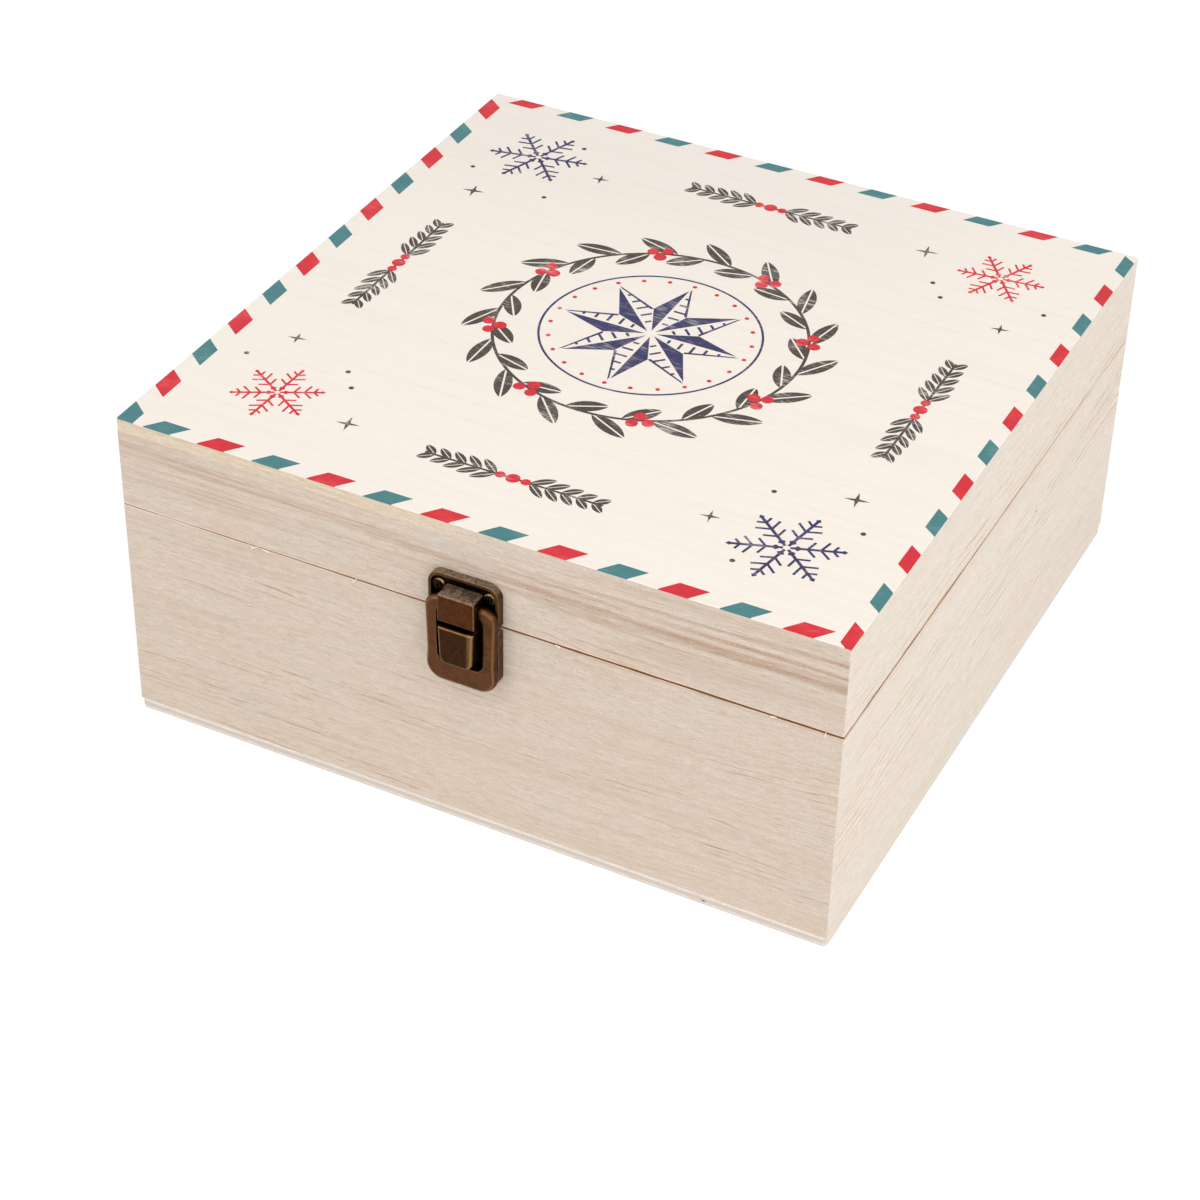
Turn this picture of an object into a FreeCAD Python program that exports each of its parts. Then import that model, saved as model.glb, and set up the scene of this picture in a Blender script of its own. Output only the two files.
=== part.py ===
import FreeCAD
import Part

import math
import os

from FreeCAD import Vector

# A square keepsake box of pale wood with a hinged lid and a swing-bail clasp.
# Millimetres. +Z is up, the front faces -Y, and the origin is the middle of the underside.
# The carcass is a glued frame with mitred corners, a board on top and plywood underneath,
# sawn through all round to part the lid from the base.

# Carcass sizes
BOX_WIDTH = 260.0
BOX_DEPTH = 260.0
BOX_HEIGHT = 120.0
WALL = 8.0
TOP_BOARD = 5.0
BOTTOM_PLY = 4.0
LID_HEIGHT = 33.8
SEAM_GAP = 0.35
WALL_CORNER = 0.5
TOP_CORNER = 0.8
TOP_ARRIS = 0.5
PLY_INSET = 0.1
PLY_CORNER = 2.0
PLY_ARRIS = 0.4

# Screw sizes, the same small dome-headed wood screw throughout
SCREW_HEAD_RADIUS = 2.15
SCREW_HEAD_RISE = 1.1
SCREW_HEAD_RIM = 0.3
SCREW_SHANK_RADIUS = 1.1
SCREW_BITE = 6.0
SCREW_TIP = 1.8
SCREW_HOLE_CLEARANCE = 0.1
PILOT_CLEARANCE = 0.02
CROSS_SPAN = 2.5
CROSS_SLOT = 0.55
CROSS_DEPTH = 0.7

# Clasp sizes: a bracket on the lid's plate holds the bail, which closes round a keeper on the base's plate
CLASP_OFFSET = 0.5
PLATE_SHEET = 0.8
PLATE_FLOOR_RISE = 1.0
PLATE_RIM_RISE = 1.2
PLATE_RIM_WALL = 1.1
PLATE_RIM_ROUND = 0.45
PLATE_SEAM_MARGIN = 0.7
PLATE_SEAM_CORNER = 0.6
SCREW_TO_BRACKET = 0.25
SCREW_TO_RIM = 0.35
LID_PLATE_MARGIN = 4.2
LID_PLATE_CORNER = 4.5
LID_SCREW_DROP = 5.0
BASE_PLATE_TUCK = 2.0
BASE_PLATE_CORNER = 4.0
BASE_SCREW_RISE = 4.0
PIVOT_RISE = 6.5
BRACKET_WIDTH = 13.5
BRACKET_WALL = 1.2
BRACKET_FOOT = 1.1
BRACKET_FOOT_ROUND = 0.4
BRACKET_OVER_PIVOT = 5.3
BRACKET_STEP = 2.8
BRACKET_CORNER = 1.2
BRACKET_EDGE_ROUND = 1.1
KEEPER_WIDTH = 12.9
KEEPER_WALL = 1.2
KEEPER_TAPER = 0.6
KEEPER_DROP = 0.5
KEEPER_HEIGHT = 14.3
KEEPER_STEP = 3.1
KEEPER_CORNER = 3.0
KEEPER_LIP_ROUND = 0.4
KEEPER_EDGE_ROUND = 1.1
BAIL_THICK = 2.4
BAIL_TO_PLATE = 0.3
BAIL_TO_BRACKET = 1.5
BAIL_ARM = 4.8
BAIL_WAIST = 0.7
BAIL_WAIST_RISE = 11.5
BAIL_WAIST_ROUND = 24.0
BAIL_UNDER_KEEPER = 1.6
BAIL_GRIP = 8.3
BAIL_FOOT_ROUND = 6.0
BAIL_SHOULDER_ROUND = 5.0
BAIL_EDGE_ROUND = 1.7
WINDOW_EDGE_ROUND = 0.6
WINDOW_FOOT_ROUND = 3.0
WINDOW_SHOULDER_ROUND = 2.2
EYE_HALF = 1.8
EYE_CLEARANCE = 0.3
TRUNNION_RADIUS = 0.75
TRUNNION_CLEARANCE = 0.05

# Hinge sizes
HINGE_SPACING = 150.0
HINGE_LENGTH = 24.0
LEAF_REACH = 15.0
LEAF_SHEET = 1.0
LEAF_CORNER = 1.5
LEAF_EDGE_ROUND = 0.25
LEAF_SCREW_EDGE = 4.6
LEAF_SCREW_END = 4.8
KNUCKLE_RADIUS = 1.8
KNUCKLE_STANDOFF = 0.3
KNUCKLE_GAP = 0.2
MIDDLE_KNUCKLE = 10.0
NOTCH_CLEARANCE = 0.4
HINGE_PIN_RADIUS = 0.9
HINGE_PIN_CLEARANCE = 0.05
HINGE_PIN_HEAD_RADIUS = 1.4
HINGE_PIN_HEAD = 0.5
STOP_LUG = 1.5
STOP_LUG_DEGREES = 70.0
STOP_PLAY_DEGREES = 1.5
LID_OPENING_DEGREES = 105.0

# How far a cutting tool passes the faces that it cuts, and how near two heights are to count as one
OVERRUN = 5.0
SAME_LEVEL = 0.000001

# Levels worked out from the sizes above
SEAM_HEIGHT = BOX_HEIGHT - LID_HEIGHT
BASE_TOP = SEAM_HEIGHT - SEAM_GAP / 2
LID_FOOT = SEAM_HEIGHT + SEAM_GAP / 2
LID_WALL_TOP = BOX_HEIGHT - TOP_BOARD

# Clasp places, in its own frame: x across, y up from the seam, z out from the front of the box
BRACKET_HALF = BRACKET_WIDTH / 2
KEEPER_HALF = KEEPER_WIDTH / 2
PLATE_FLOOR = PLATE_FLOOR_RISE + PLATE_SHEET
RIM_FRONT = PLATE_FLOOR + PLATE_RIM_RISE
BAIL_BACK = RIM_FRONT + BAIL_TO_PLATE
BAIL_FRONT = BAIL_BACK + BAIL_THICK
PIVOT_OUT = BAIL_BACK + BAIL_THICK / 2
BRACKET_FRONT = BAIL_FRONT + BRACKET_STEP
KEEPER_FRONT = BAIL_FRONT + KEEPER_STEP
CLASP_SCREW_SIDE = BRACKET_HALF + SCREW_TO_BRACKET + SCREW_HEAD_RADIUS
PLATE_HALF = CLASP_SCREW_SIDE + SCREW_HEAD_RADIUS + SCREW_TO_RIM + PLATE_RIM_WALL
PLATE_SEAM_EDGE = SEAM_GAP / 2 + PLATE_SEAM_MARGIN
BRACKET_TOP = PIVOT_RISE + BRACKET_OVER_PIVOT
LID_PLATE_TOP = BRACKET_TOP + LID_PLATE_MARGIN
LID_SCREW_LEVEL = LID_PLATE_TOP - LID_SCREW_DROP
KEEPER_FOOT = -KEEPER_DROP - KEEPER_HEIGHT
WINDOW_HALF = BRACKET_HALF + BAIL_TO_BRACKET
WINDOW_FOOT = KEEPER_FOOT - BAIL_UNDER_KEEPER
BAIL_FOOT = WINDOW_FOOT - BAIL_GRIP
BAIL_HALF = WINDOW_HALF + BAIL_ARM
BAIL_WAIST_LEVEL = BAIL_FOOT + BAIL_WAIST_RISE
BASE_PLATE_FOOT = BAIL_FOOT + BASE_PLATE_TUCK
BASE_SCREW_LEVEL = BASE_PLATE_FOOT + BASE_SCREW_RISE

# Hinge places, in its own frame: x along the pin, y up from the pin, z out from the back of the box
PIN_OUT = KNUCKLE_RADIUS + KNUCKLE_STANDOFF
LEAF_NOTCH = KNUCKLE_RADIUS + NOTCH_CLEARANCE
LEAF_SCREW_LEVEL = LEAF_REACH - LEAF_SCREW_EDGE
LEAF_SCREW_SIDE = HINGE_LENGTH / 2 - LEAF_SCREW_END
BORE_RADIUS = HINGE_PIN_RADIUS + HINGE_PIN_CLEARANCE

X_AXIS = Vector(1, 0, 0)
Y_AXIS = Vector(0, 1, 0)
Z_AXIS = Vector(0, 0, 1)
ORIGIN = Vector(0, 0, 0)


# Shape helpers

def block(x0, x1, y0, y1, z0, z1):
    """A plain box between two corners."""
    return Part.makeBox(x1 - x0, y1 - y0, z1 - z0, Vector(x0, y0, z0))


def rounded_wire(corners, level):
    """A closed outline at one level through (x, y, radius) corners, each rounded by its own radius."""
    starts, ends, arcs = [], [], []
    for i, (x, y, radius) in enumerate(corners):
        corner = Vector(x, y, level)
        before = Vector(corners[i - 1][0], corners[i - 1][1], level) - corner
        after = Vector(corners[(i + 1) % len(corners)][0], corners[(i + 1) % len(corners)][1], level) - corner
        before.normalize()
        after.normalize()
        half_angle = before.getAngle(after) / 2
        setback = radius / math.tan(half_angle)
        inward = before + after
        inward.normalize()
        starts.append(corner + before * setback)
        ends.append(corner + after * setback)
        arcs.append(corner + inward * (radius / math.sin(half_angle) - radius))
    edges = []
    for i in range(len(corners)):
        edges.append(Part.Arc(starts[i], arcs[i], ends[i]).toShape())
        following = starts[(i + 1) % len(corners)]
        edges.append(Part.LineSegment(ends[i], following).toShape())
    return Part.Wire(edges)


def prism(corners, z0, z1):
    """A rounded outline drawn at z0 and raised to z1."""
    return Part.Face(rounded_wire(corners, z0)).extrude(Vector(0, 0, z1 - z0))


def rectangle(half_width, y0, y1, foot_round, head_round):
    """Corners of an upright rectangle, rounded alike at its two lower and its two upper corners."""
    return [
        (-half_width, y0, foot_round),
        (half_width, y0, foot_round),
        (half_width, y1, head_round),
        (-half_width, y1, head_round),
    ]


def round_edges_at(shape, level, radius):
    """Rounds every edge that lies in the plane z = level."""
    edges = []
    for edge in shape.Edges:
        box = edge.BoundBox
        if abs(box.ZMin - level) < SAME_LEVEL and abs(box.ZMax - level) < SAME_LEVEL:
            edges.append(edge)
    return shape.makeFillet(radius, edges)


def round_edges_within(shape, level, half_width, radius):
    """Rounds the edges in the plane z = level that stay within a half width of the middle."""
    edges = []
    for edge in shape.Edges:
        box = edge.BoundBox
        in_plane = abs(box.ZMin - level) < SAME_LEVEL and abs(box.ZMax - level) < SAME_LEVEL
        if in_plane and max(abs(box.XMin), abs(box.XMax)) < half_width + SAME_LEVEL:
            edges.append(edge)
    return shape.makeFillet(radius, edges)


def rod(radius, x0, x1, y, z):
    """A round bar along X."""
    return Part.makeCylinder(radius, x1 - x0, Vector(x0, y, z), X_AXIS)


def moved(shape, x, y, z):
    """A copy of the shape, shifted."""
    copy = shape.copy()
    copy.translate(Vector(x, y, z))
    return copy


def on_front(shape):
    """Takes a shape from the clasp's frame to its place on the front of the box."""
    placed = shape.copy()
    placed.rotate(ORIGIN, X_AXIS, 90)
    placed.translate(Vector(CLASP_OFFSET, -BOX_DEPTH / 2, SEAM_HEIGHT))
    return placed


def on_back(shape, side):
    """Takes a shape from a hinge's frame to the left (-1) or right (1) hinge on the back of the box."""
    placed = shape.copy()
    placed.rotate(ORIGIN, X_AXIS, 90)
    placed.rotate(ORIGIN, Z_AXIS, 180)
    placed.translate(Vector(side * HINGE_SPACING / 2, BOX_DEPTH / 2, SEAM_HEIGHT))
    return placed


# Screws

def screw(seat):
    """A screw along -Z with its head seated at z = seat, which bites the wood below z = 0."""
    rim = seat + SCREW_HEAD_RIM
    crown = seat + SCREW_HEAD_RISE
    crown_share = 0.75
    shoulder = Vector(SCREW_HEAD_RADIUS * crown_share, 0, rim + (crown - rim) * crown_share)
    outline = [
        Part.LineSegment(Vector(0, 0, seat), Vector(SCREW_HEAD_RADIUS, 0, seat)).toShape(),
        Part.LineSegment(Vector(SCREW_HEAD_RADIUS, 0, seat), Vector(SCREW_HEAD_RADIUS, 0, rim)).toShape(),
        Part.Arc(Vector(SCREW_HEAD_RADIUS, 0, rim), shoulder, Vector(0, 0, crown)).toShape(),
        Part.LineSegment(Vector(0, 0, crown), Vector(0, 0, seat)).toShape(),
    ]
    head = Part.Face(Part.Wire(outline)).revolve(ORIGIN, Z_AXIS, 360)
    for half_x, half_y in ((CROSS_SPAN / 2, CROSS_SLOT / 2), (CROSS_SLOT / 2, CROSS_SPAN / 2)):
        head = head.cut(block(-half_x, half_x, -half_y, half_y, crown - CROSS_DEPTH, crown + OVERRUN))
    straight = seat + SCREW_BITE - SCREW_TIP
    shank = Part.makeCylinder(SCREW_SHANK_RADIUS, straight, Vector(0, 0, seat), -Z_AXIS)
    tip = Part.makeCone(SCREW_SHANK_RADIUS, 0, SCREW_TIP, Vector(0, 0, seat - straight), -Z_AXIS)
    return head.fuse([shank, tip]).removeSplitter()


def screw_hole(seat):
    """The clearance hole that a screw needs through sheet metal below its seat."""
    radius = SCREW_SHANK_RADIUS + SCREW_HOLE_CLEARANCE
    return Part.makeCylinder(radius, seat + OVERRUN, Vector(0, 0, -OVERRUN))


def pilot():
    """The pilot hole of a screw in wood whose face is z = 0."""
    radius = SCREW_SHANK_RADIUS + PILOT_CLEARANCE
    return Part.makeCylinder(radius, SCREW_BITE + OVERRUN, Vector(0, 0, -SCREW_BITE))


def at_places(shape, places):
    """Copies of a shape at several (x, y) places."""
    return [moved(shape, x, y, 0) for x, y in places]


CLASP_LID_SCREWS = [(side * CLASP_SCREW_SIDE, LID_SCREW_LEVEL) for side in (-1, 1)]
CLASP_BASE_SCREWS = [(side * CLASP_SCREW_SIDE, BASE_SCREW_LEVEL) for side in (-1, 1)]
HINGE_LID_SCREWS = [(side * LEAF_SCREW_SIDE, LEAF_SCREW_LEVEL) for side in (-1, 1)]
HINGE_BASE_SCREWS = [(side * LEAF_SCREW_SIDE, -LEAF_SCREW_LEVEL) for side in (-1, 1)]
HINGE_SIDES = (-1, 1)


# Wooden carcass

def frame_walls(z0, z1):
    """The four mitred walls of a frame between two levels, as front, back, left and right."""
    half_w, half_d = BOX_WIDTH / 2, BOX_DEPTH / 2
    outer = prism(rectangle(half_w, -half_d, half_d, WALL_CORNER, WALL_CORNER), z0, z1)
    inner = block(WALL - half_w, half_w - WALL, WALL - half_d, half_d - WALL, z0 - OVERRUN, z1 + OVERRUN)
    ring = outer.cut(inner)
    past = OVERRUN
    deep = WALL + OVERRUN
    walls = {}
    for name, side in (("front", -1), ("back", 1)):
        wedge = [
            Vector(-half_w - past, side * (half_d + past), z0),
            Vector(half_w + past, side * (half_d + past), z0),
            Vector(half_w - deep, side * (half_d - deep), z0),
            Vector(deep - half_w, side * (half_d - deep), z0),
        ]
        walls[name] = mitre(ring, wedge, z1 - z0)
    for name, side in (("left", -1), ("right", 1)):
        wedge = [
            Vector(side * (half_w + past), -half_d - past, z0),
            Vector(side * (half_w + past), half_d + past, z0),
            Vector(side * (half_w - deep), half_d - deep, z0),
            Vector(side * (half_w - deep), deep - half_d, z0),
        ]
        walls[name] = mitre(ring, wedge, z1 - z0)
    return walls


def mitre(ring, wedge, height):
    """The part of a frame that lies inside a wedge, cut at 45 degrees at both its ends."""
    cutter = Part.Face(Part.makePolygon(wedge + wedge[:1])).extrude(Vector(0, 0, height))
    return ring.common(cutter)


def base_walls():
    """The base's frame, drilled for the screws of the clasp and the hinges."""
    walls = frame_walls(BOTTOM_PLY, BASE_TOP)
    clasp_holes = [on_front(hole) for hole in at_places(pilot(), CLASP_BASE_SCREWS)]
    walls["front"] = walls["front"].cut(clasp_holes)
    walls["back"] = walls["back"].cut(hinge_pilots(HINGE_BASE_SCREWS))
    return walls


def lid_walls():
    """The lid's frame, drilled for the screws of the clasp and the hinges."""
    walls = frame_walls(LID_FOOT, LID_WALL_TOP)
    clasp_holes = [on_front(hole) for hole in at_places(pilot(), CLASP_LID_SCREWS)]
    walls["front"] = walls["front"].cut(clasp_holes)
    walls["back"] = walls["back"].cut(hinge_pilots(HINGE_LID_SCREWS))
    return walls


def hinge_pilots(places):
    """Pilot holes for one leaf of each hinge."""
    return [on_back(hole, side) for side in HINGE_SIDES for hole in at_places(pilot(), places)]


def lid_top_panel():
    """The board on top of the lid, with its upper edges eased."""
    corners = rectangle(BOX_WIDTH / 2, -BOX_DEPTH / 2, BOX_DEPTH / 2, TOP_CORNER, TOP_CORNER)
    return round_edges_at(prism(corners, LID_WALL_TOP, BOX_HEIGHT), BOX_HEIGHT, TOP_ARRIS)


def bottom_panel():
    """The plywood under the base, a little inside the walls and rounded at its corners."""
    half_d = BOX_DEPTH / 2 - PLY_INSET
    corners = rectangle(BOX_WIDTH / 2 - PLY_INSET, -half_d, half_d, PLY_CORNER, PLY_CORNER)
    return round_edges_at(prism(corners, 0, BOTTOM_PLY), 0, PLY_ARRIS)


# Clasp

def plate_tray(y0, y1, foot_round, head_round, seam_below):
    """A plate pressed from sheet: a raised rim round a lower floor, open along the edge beside the seam."""
    pan = prism(rectangle(PLATE_HALF, y0, y1, foot_round, head_round), 0, RIM_FRONT)
    pan = round_edges_at(pan, RIM_FRONT, PLATE_RIM_ROUND)
    inner_half = PLATE_HALF - PLATE_RIM_WALL
    inner_y0, inner_y1 = y0 + PLATE_RIM_WALL, y1 - PLATE_RIM_WALL
    if seam_below:
        inner_head = head_round - PLATE_RIM_WALL
        front = rectangle(inner_half, y0 - OVERRUN, inner_y1, foot_round, inner_head)
        back = rectangle(inner_half, inner_y0, inner_y1, foot_round, inner_head)
    else:
        inner_foot = foot_round - PLATE_RIM_WALL
        front = rectangle(inner_half, inner_y0, y1 + OVERRUN, inner_foot, head_round)
        back = rectangle(inner_half, inner_y0, inner_y1, inner_foot, head_round)
    pan = pan.cut(prism(front, PLATE_FLOOR, RIM_FRONT + OVERRUN))
    return pan.cut(prism(back, -OVERRUN, PLATE_FLOOR_RISE))


def clasp_lid_plate():
    """The plate on the lid, which carries the bracket."""
    plate = plate_tray(PLATE_SEAM_EDGE, LID_PLATE_TOP, PLATE_SEAM_CORNER, LID_PLATE_CORNER, True)
    return plate.cut(at_places(screw_hole(PLATE_FLOOR), CLASP_LID_SCREWS))


def clasp_base_plate():
    """The plate on the base, which carries the keeper."""
    plate = plate_tray(BASE_PLATE_FOOT, -PLATE_SEAM_EDGE, BASE_PLATE_CORNER, PLATE_SEAM_CORNER, False)
    return plate.cut(at_places(screw_hole(PLATE_FLOOR), CLASP_BASE_SCREWS))


def clasp_bracket():
    """The hollow block on the lid's plate, open below, whose cheeks hold the bail's trunnions."""
    outside = rectangle(BRACKET_HALF, BRACKET_FOOT, BRACKET_TOP, BRACKET_FOOT_ROUND, BRACKET_CORNER)
    shell = round_edges_at(prism(outside, PLATE_FLOOR, BRACKET_FRONT), BRACKET_FRONT, BRACKET_EDGE_ROUND)
    inside = BRACKET_HALF - BRACKET_WALL
    hollow = block(
        -inside, inside,
        BRACKET_FOOT - OVERRUN, BRACKET_TOP - BRACKET_WALL,
        PLATE_FLOOR - OVERRUN, BRACKET_FRONT - BRACKET_WALL,
    )
    bore = rod(TRUNNION_RADIUS + TRUNNION_CLEARANCE, -PLATE_HALF, PLATE_HALF, PIVOT_RISE, PIVOT_OUT)
    return shell.cut([hollow, bore])


def keeper_outline(inset, head, head_round):
    """The keeper's front outline, set in all round by its wall for the hollow, and raised to a given head."""
    half = KEEPER_HALF - inset
    foot_half = half - KEEPER_TAPER
    return [
        (-foot_half, KEEPER_FOOT + inset, KEEPER_CORNER - inset),
        (foot_half, KEEPER_FOOT + inset, KEEPER_CORNER - inset),
        (half, head, head_round),
        (-half, head, head_round),
    ]


def clasp_keeper():
    """The hollow block on the base's plate, open above, which the bail's window closes round."""
    outside = keeper_outline(0, -KEEPER_DROP, KEEPER_LIP_ROUND)
    shell = round_edges_at(prism(outside, PLATE_FLOOR, KEEPER_FRONT), KEEPER_FRONT, KEEPER_EDGE_ROUND)
    hollow = keeper_outline(KEEPER_WALL, OVERRUN, KEEPER_LIP_ROUND)
    return shell.cut(prism(hollow, PLATE_FLOOR - OVERRUN, KEEPER_FRONT - KEEPER_WALL))


def clasp_bail():
    """The stirrup that swings on two trunnions in the bracket and closes round the keeper."""
    head = PIVOT_RISE + EYE_HALF
    eye_foot = PIVOT_RISE - EYE_HALF
    waist_half = BAIL_HALF - BAIL_WAIST
    outline = [
        (-BAIL_HALF, BAIL_FOOT, BAIL_FOOT_ROUND),
        (BAIL_HALF, BAIL_FOOT, BAIL_FOOT_ROUND),
        (waist_half, BAIL_WAIST_LEVEL, BAIL_WAIST_ROUND),
        (BAIL_HALF, head, BAIL_SHOULDER_ROUND),
        (-BAIL_HALF, head, BAIL_SHOULDER_ROUND),
        (-waist_half, BAIL_WAIST_LEVEL, BAIL_WAIST_ROUND),
    ]
    window = rectangle(WINDOW_HALF, WINDOW_FOOT, eye_foot, WINDOW_FOOT_ROUND, WINDOW_SHOULDER_ROUND)
    deep = BAIL_BACK - OVERRUN
    proud = BAIL_FRONT + OVERRUN
    blank = round_edges_at(prism(outline, BAIL_BACK, BAIL_FRONT), BAIL_FRONT, BAIL_EDGE_ROUND)
    stirrup = blank.cut(prism(window, deep, proud))
    stirrup = round_edges_within(stirrup, BAIL_FRONT, WINDOW_HALF, WINDOW_EDGE_ROUND)
    mouth = BRACKET_HALF + EYE_CLEARANCE
    stirrup = stirrup.cut(block(-mouth, mouth, eye_foot - OVERRUN, head + OVERRUN, deep, proud))
    inner_end = BRACKET_HALF - BRACKET_WALL
    trunnions = [
        rod(TRUNNION_RADIUS, -mouth, -inner_end, PIVOT_RISE, PIVOT_OUT),
        rod(TRUNNION_RADIUS, inner_end, mouth, PIVOT_RISE, PIVOT_OUT),
    ]
    return stirrup.fuse(trunnions)


# Hinges

def knuckle(radius, x0, x1, start_degrees, sweep_degrees):
    """A round bar about the pin, whole or a sector of it, counted from straight up towards the outside."""
    bar = Part.makeCylinder(radius, x1 - x0, Vector(0, 0, x0), Z_AXIS, sweep_degrees)
    bar.rotate(ORIGIN, Z_AXIS, start_degrees)
    bar.rotate(ORIGIN, Vector(1, 1, 1), 120)
    bar.translate(Vector(0, 0, PIN_OUT))
    return bar


def leaf_sheet(upward):
    """The flat of one leaf, cut back to clear the knuckles, above (1) or below (-1) the pin."""
    half = HINGE_LENGTH / 2
    if upward > 0:
        corners = rectangle(half, LEAF_NOTCH, LEAF_REACH, KNUCKLE_GAP, LEAF_CORNER)
    else:
        corners = rectangle(half, -LEAF_REACH, -LEAF_NOTCH, LEAF_CORNER, KNUCKLE_GAP)
    return round_edges_at(prism(corners, 0, LEAF_SHEET), LEAF_SHEET, LEAF_EDGE_ROUND)


STOP_LUG_START = 180.0 - STOP_LUG_DEGREES / 2
STOP_POCKET_START = STOP_LUG_START - LID_OPENING_DEGREES - STOP_PLAY_DEGREES
STOP_POCKET_SWEEP = LID_OPENING_DEGREES + STOP_LUG_DEGREES + 2 * STOP_PLAY_DEGREES


def hinge_lid_leaf():
    """The upper leaf, with the middle knuckle, whose ends are cut away where the stop lugs travel."""
    half = MIDDLE_KNUCKLE / 2
    tongue = block(-half, half, 0, LEAF_NOTCH + LEAF_CORNER, 0, LEAF_SHEET)
    barrel = knuckle(KNUCKLE_RADIUS, -half, half, 0, 360)
    leaf = leaf_sheet(1).fuse([tongue, barrel])
    pocket = STOP_LUG + KNUCKLE_GAP
    tools = [
        rod(BORE_RADIUS, -HINGE_LENGTH, HINGE_LENGTH, 0, PIN_OUT),
        knuckle(PIN_OUT, -half - OVERRUN, pocket - half, STOP_POCKET_START, STOP_POCKET_SWEEP),
        knuckle(PIN_OUT, half - pocket, half + OVERRUN, STOP_POCKET_START, STOP_POCKET_SWEEP),
    ]
    tools += at_places(screw_hole(LEAF_SHEET), HINGE_LID_SCREWS)
    return leaf.cut(tools).removeSplitter()


def hinge_base_leaf():
    """The lower leaf, with the two outer knuckles and the lugs that stop the lid."""
    inner = MIDDLE_KNUCKLE / 2 + KNUCKLE_GAP
    outer = HINGE_LENGTH / 2
    leaf = leaf_sheet(-1)
    for x0, x1 in ((-outer, -inner), (inner, outer)):
        tongue = block(x0, x1, -LEAF_NOTCH - LEAF_CORNER, 0, 0, LEAF_SHEET)
        leaf = leaf.fuse([tongue, knuckle(KNUCKLE_RADIUS, x0, x1, 0, 360)])
    lug_end = MIDDLE_KNUCKLE / 2 - STOP_LUG
    lugs = [
        knuckle(KNUCKLE_RADIUS, -inner, -lug_end, STOP_LUG_START, STOP_LUG_DEGREES),
        knuckle(KNUCKLE_RADIUS, lug_end, inner, STOP_LUG_START, STOP_LUG_DEGREES),
    ]
    leaf = leaf.fuse(lugs)
    tools = [rod(BORE_RADIUS, -HINGE_LENGTH, HINGE_LENGTH, 0, PIN_OUT)]
    tools += at_places(screw_hole(LEAF_SHEET), HINGE_BASE_SCREWS)
    return leaf.cut(tools).removeSplitter()


def hinge_pin():
    """The hinge's pin, with a flat head at each end."""
    half = HINGE_LENGTH / 2
    pin = rod(HINGE_PIN_RADIUS, -half, half, 0, PIN_OUT)
    heads = [
        rod(HINGE_PIN_HEAD_RADIUS, -half - HINGE_PIN_HEAD, -half, 0, PIN_OUT),
        rod(HINGE_PIN_HEAD_RADIUS, half, half + HINGE_PIN_HEAD, 0, PIN_OUT),
    ]
    return pin.fuse(heads)


def hinge_screws(places):
    """The screws of one leaf of each hinge."""
    return [on_back(one, side) for side in HINGE_SIDES for one in at_places(screw(LEAF_SHEET), places)]


# The whole box, as named pieces

def all_nodes():
    """Every piece of the box in place, by name. A group of like screws is a list."""
    nodes = {"bottom_panel": bottom_panel(), "lid_top_panel": lid_top_panel()}
    for side, wall in base_walls().items():
        nodes["base_" + side + "_wall"] = wall
    for side, wall in lid_walls().items():
        nodes["lid_" + side + "_wall"] = wall
    nodes["clasp_lid_plate"] = on_front(clasp_lid_plate())
    nodes["clasp_bracket"] = on_front(clasp_bracket())
    nodes["clasp_bail"] = on_front(clasp_bail())
    nodes["clasp_base_plate"] = on_front(clasp_base_plate())
    nodes["clasp_keeper"] = on_front(clasp_keeper())
    nodes["clasp_lid_screws"] = [on_front(one) for one in at_places(screw(PLATE_FLOOR), CLASP_LID_SCREWS)]
    nodes["clasp_base_screws"] = [on_front(one) for one in at_places(screw(PLATE_FLOOR), CLASP_BASE_SCREWS)]
    for name, side in zip(("left", "right"), HINGE_SIDES):
        nodes[name + "_hinge_lid_leaf"] = on_back(hinge_lid_leaf(), side)
        nodes[name + "_hinge_base_leaf"] = on_back(hinge_base_leaf(), side)
        nodes[name + "_hinge_pin"] = on_back(hinge_pin(), side)
    nodes["hinge_lid_screws"] = hinge_screws(HINGE_LID_SCREWS)
    nodes["hinge_base_screws"] = hinge_screws(HINGE_BASE_SCREWS)
    return nodes


def main():
    os.makedirs("parts", exist_ok=True)
    for name, shape in all_nodes().items():
        solid = Part.makeCompound(shape) if isinstance(shape, list) else shape
        for one in solid.Solids:
            if not one.isValid() or one.Volume <= 0:
                raise RuntimeError(name + " has a solid that is not sound")
        solid.exportStep("parts/" + name + ".step")
        print(name, len(solid.Solids), "solids", round(solid.Volume, 1), "mm3")


main()
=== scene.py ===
"""Dresses the solids of a hinged wooden keepsake box: boards, lid print, clasp, hinges and stage."""

import math

import bmesh
import bpy
from mathutils import Matrix, Vector


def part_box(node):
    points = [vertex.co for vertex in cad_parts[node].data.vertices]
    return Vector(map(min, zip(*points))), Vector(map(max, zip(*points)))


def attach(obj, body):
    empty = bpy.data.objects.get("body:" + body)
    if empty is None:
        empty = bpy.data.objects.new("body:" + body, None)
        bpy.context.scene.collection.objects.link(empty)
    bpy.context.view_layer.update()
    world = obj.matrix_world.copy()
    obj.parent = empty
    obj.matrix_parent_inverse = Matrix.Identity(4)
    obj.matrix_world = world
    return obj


bl_info = {
    "name": "Keepsake Box Dressing",
    "version": (1, 0, 0),
    "blender": (4, 5, 0),
    "location": "3D View > Sidebar > Keepsake Box",
    "description": "Gives a hinged wooden box its grain, lid print, aged clasp and studio",
    "category": "Object",
}

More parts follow.
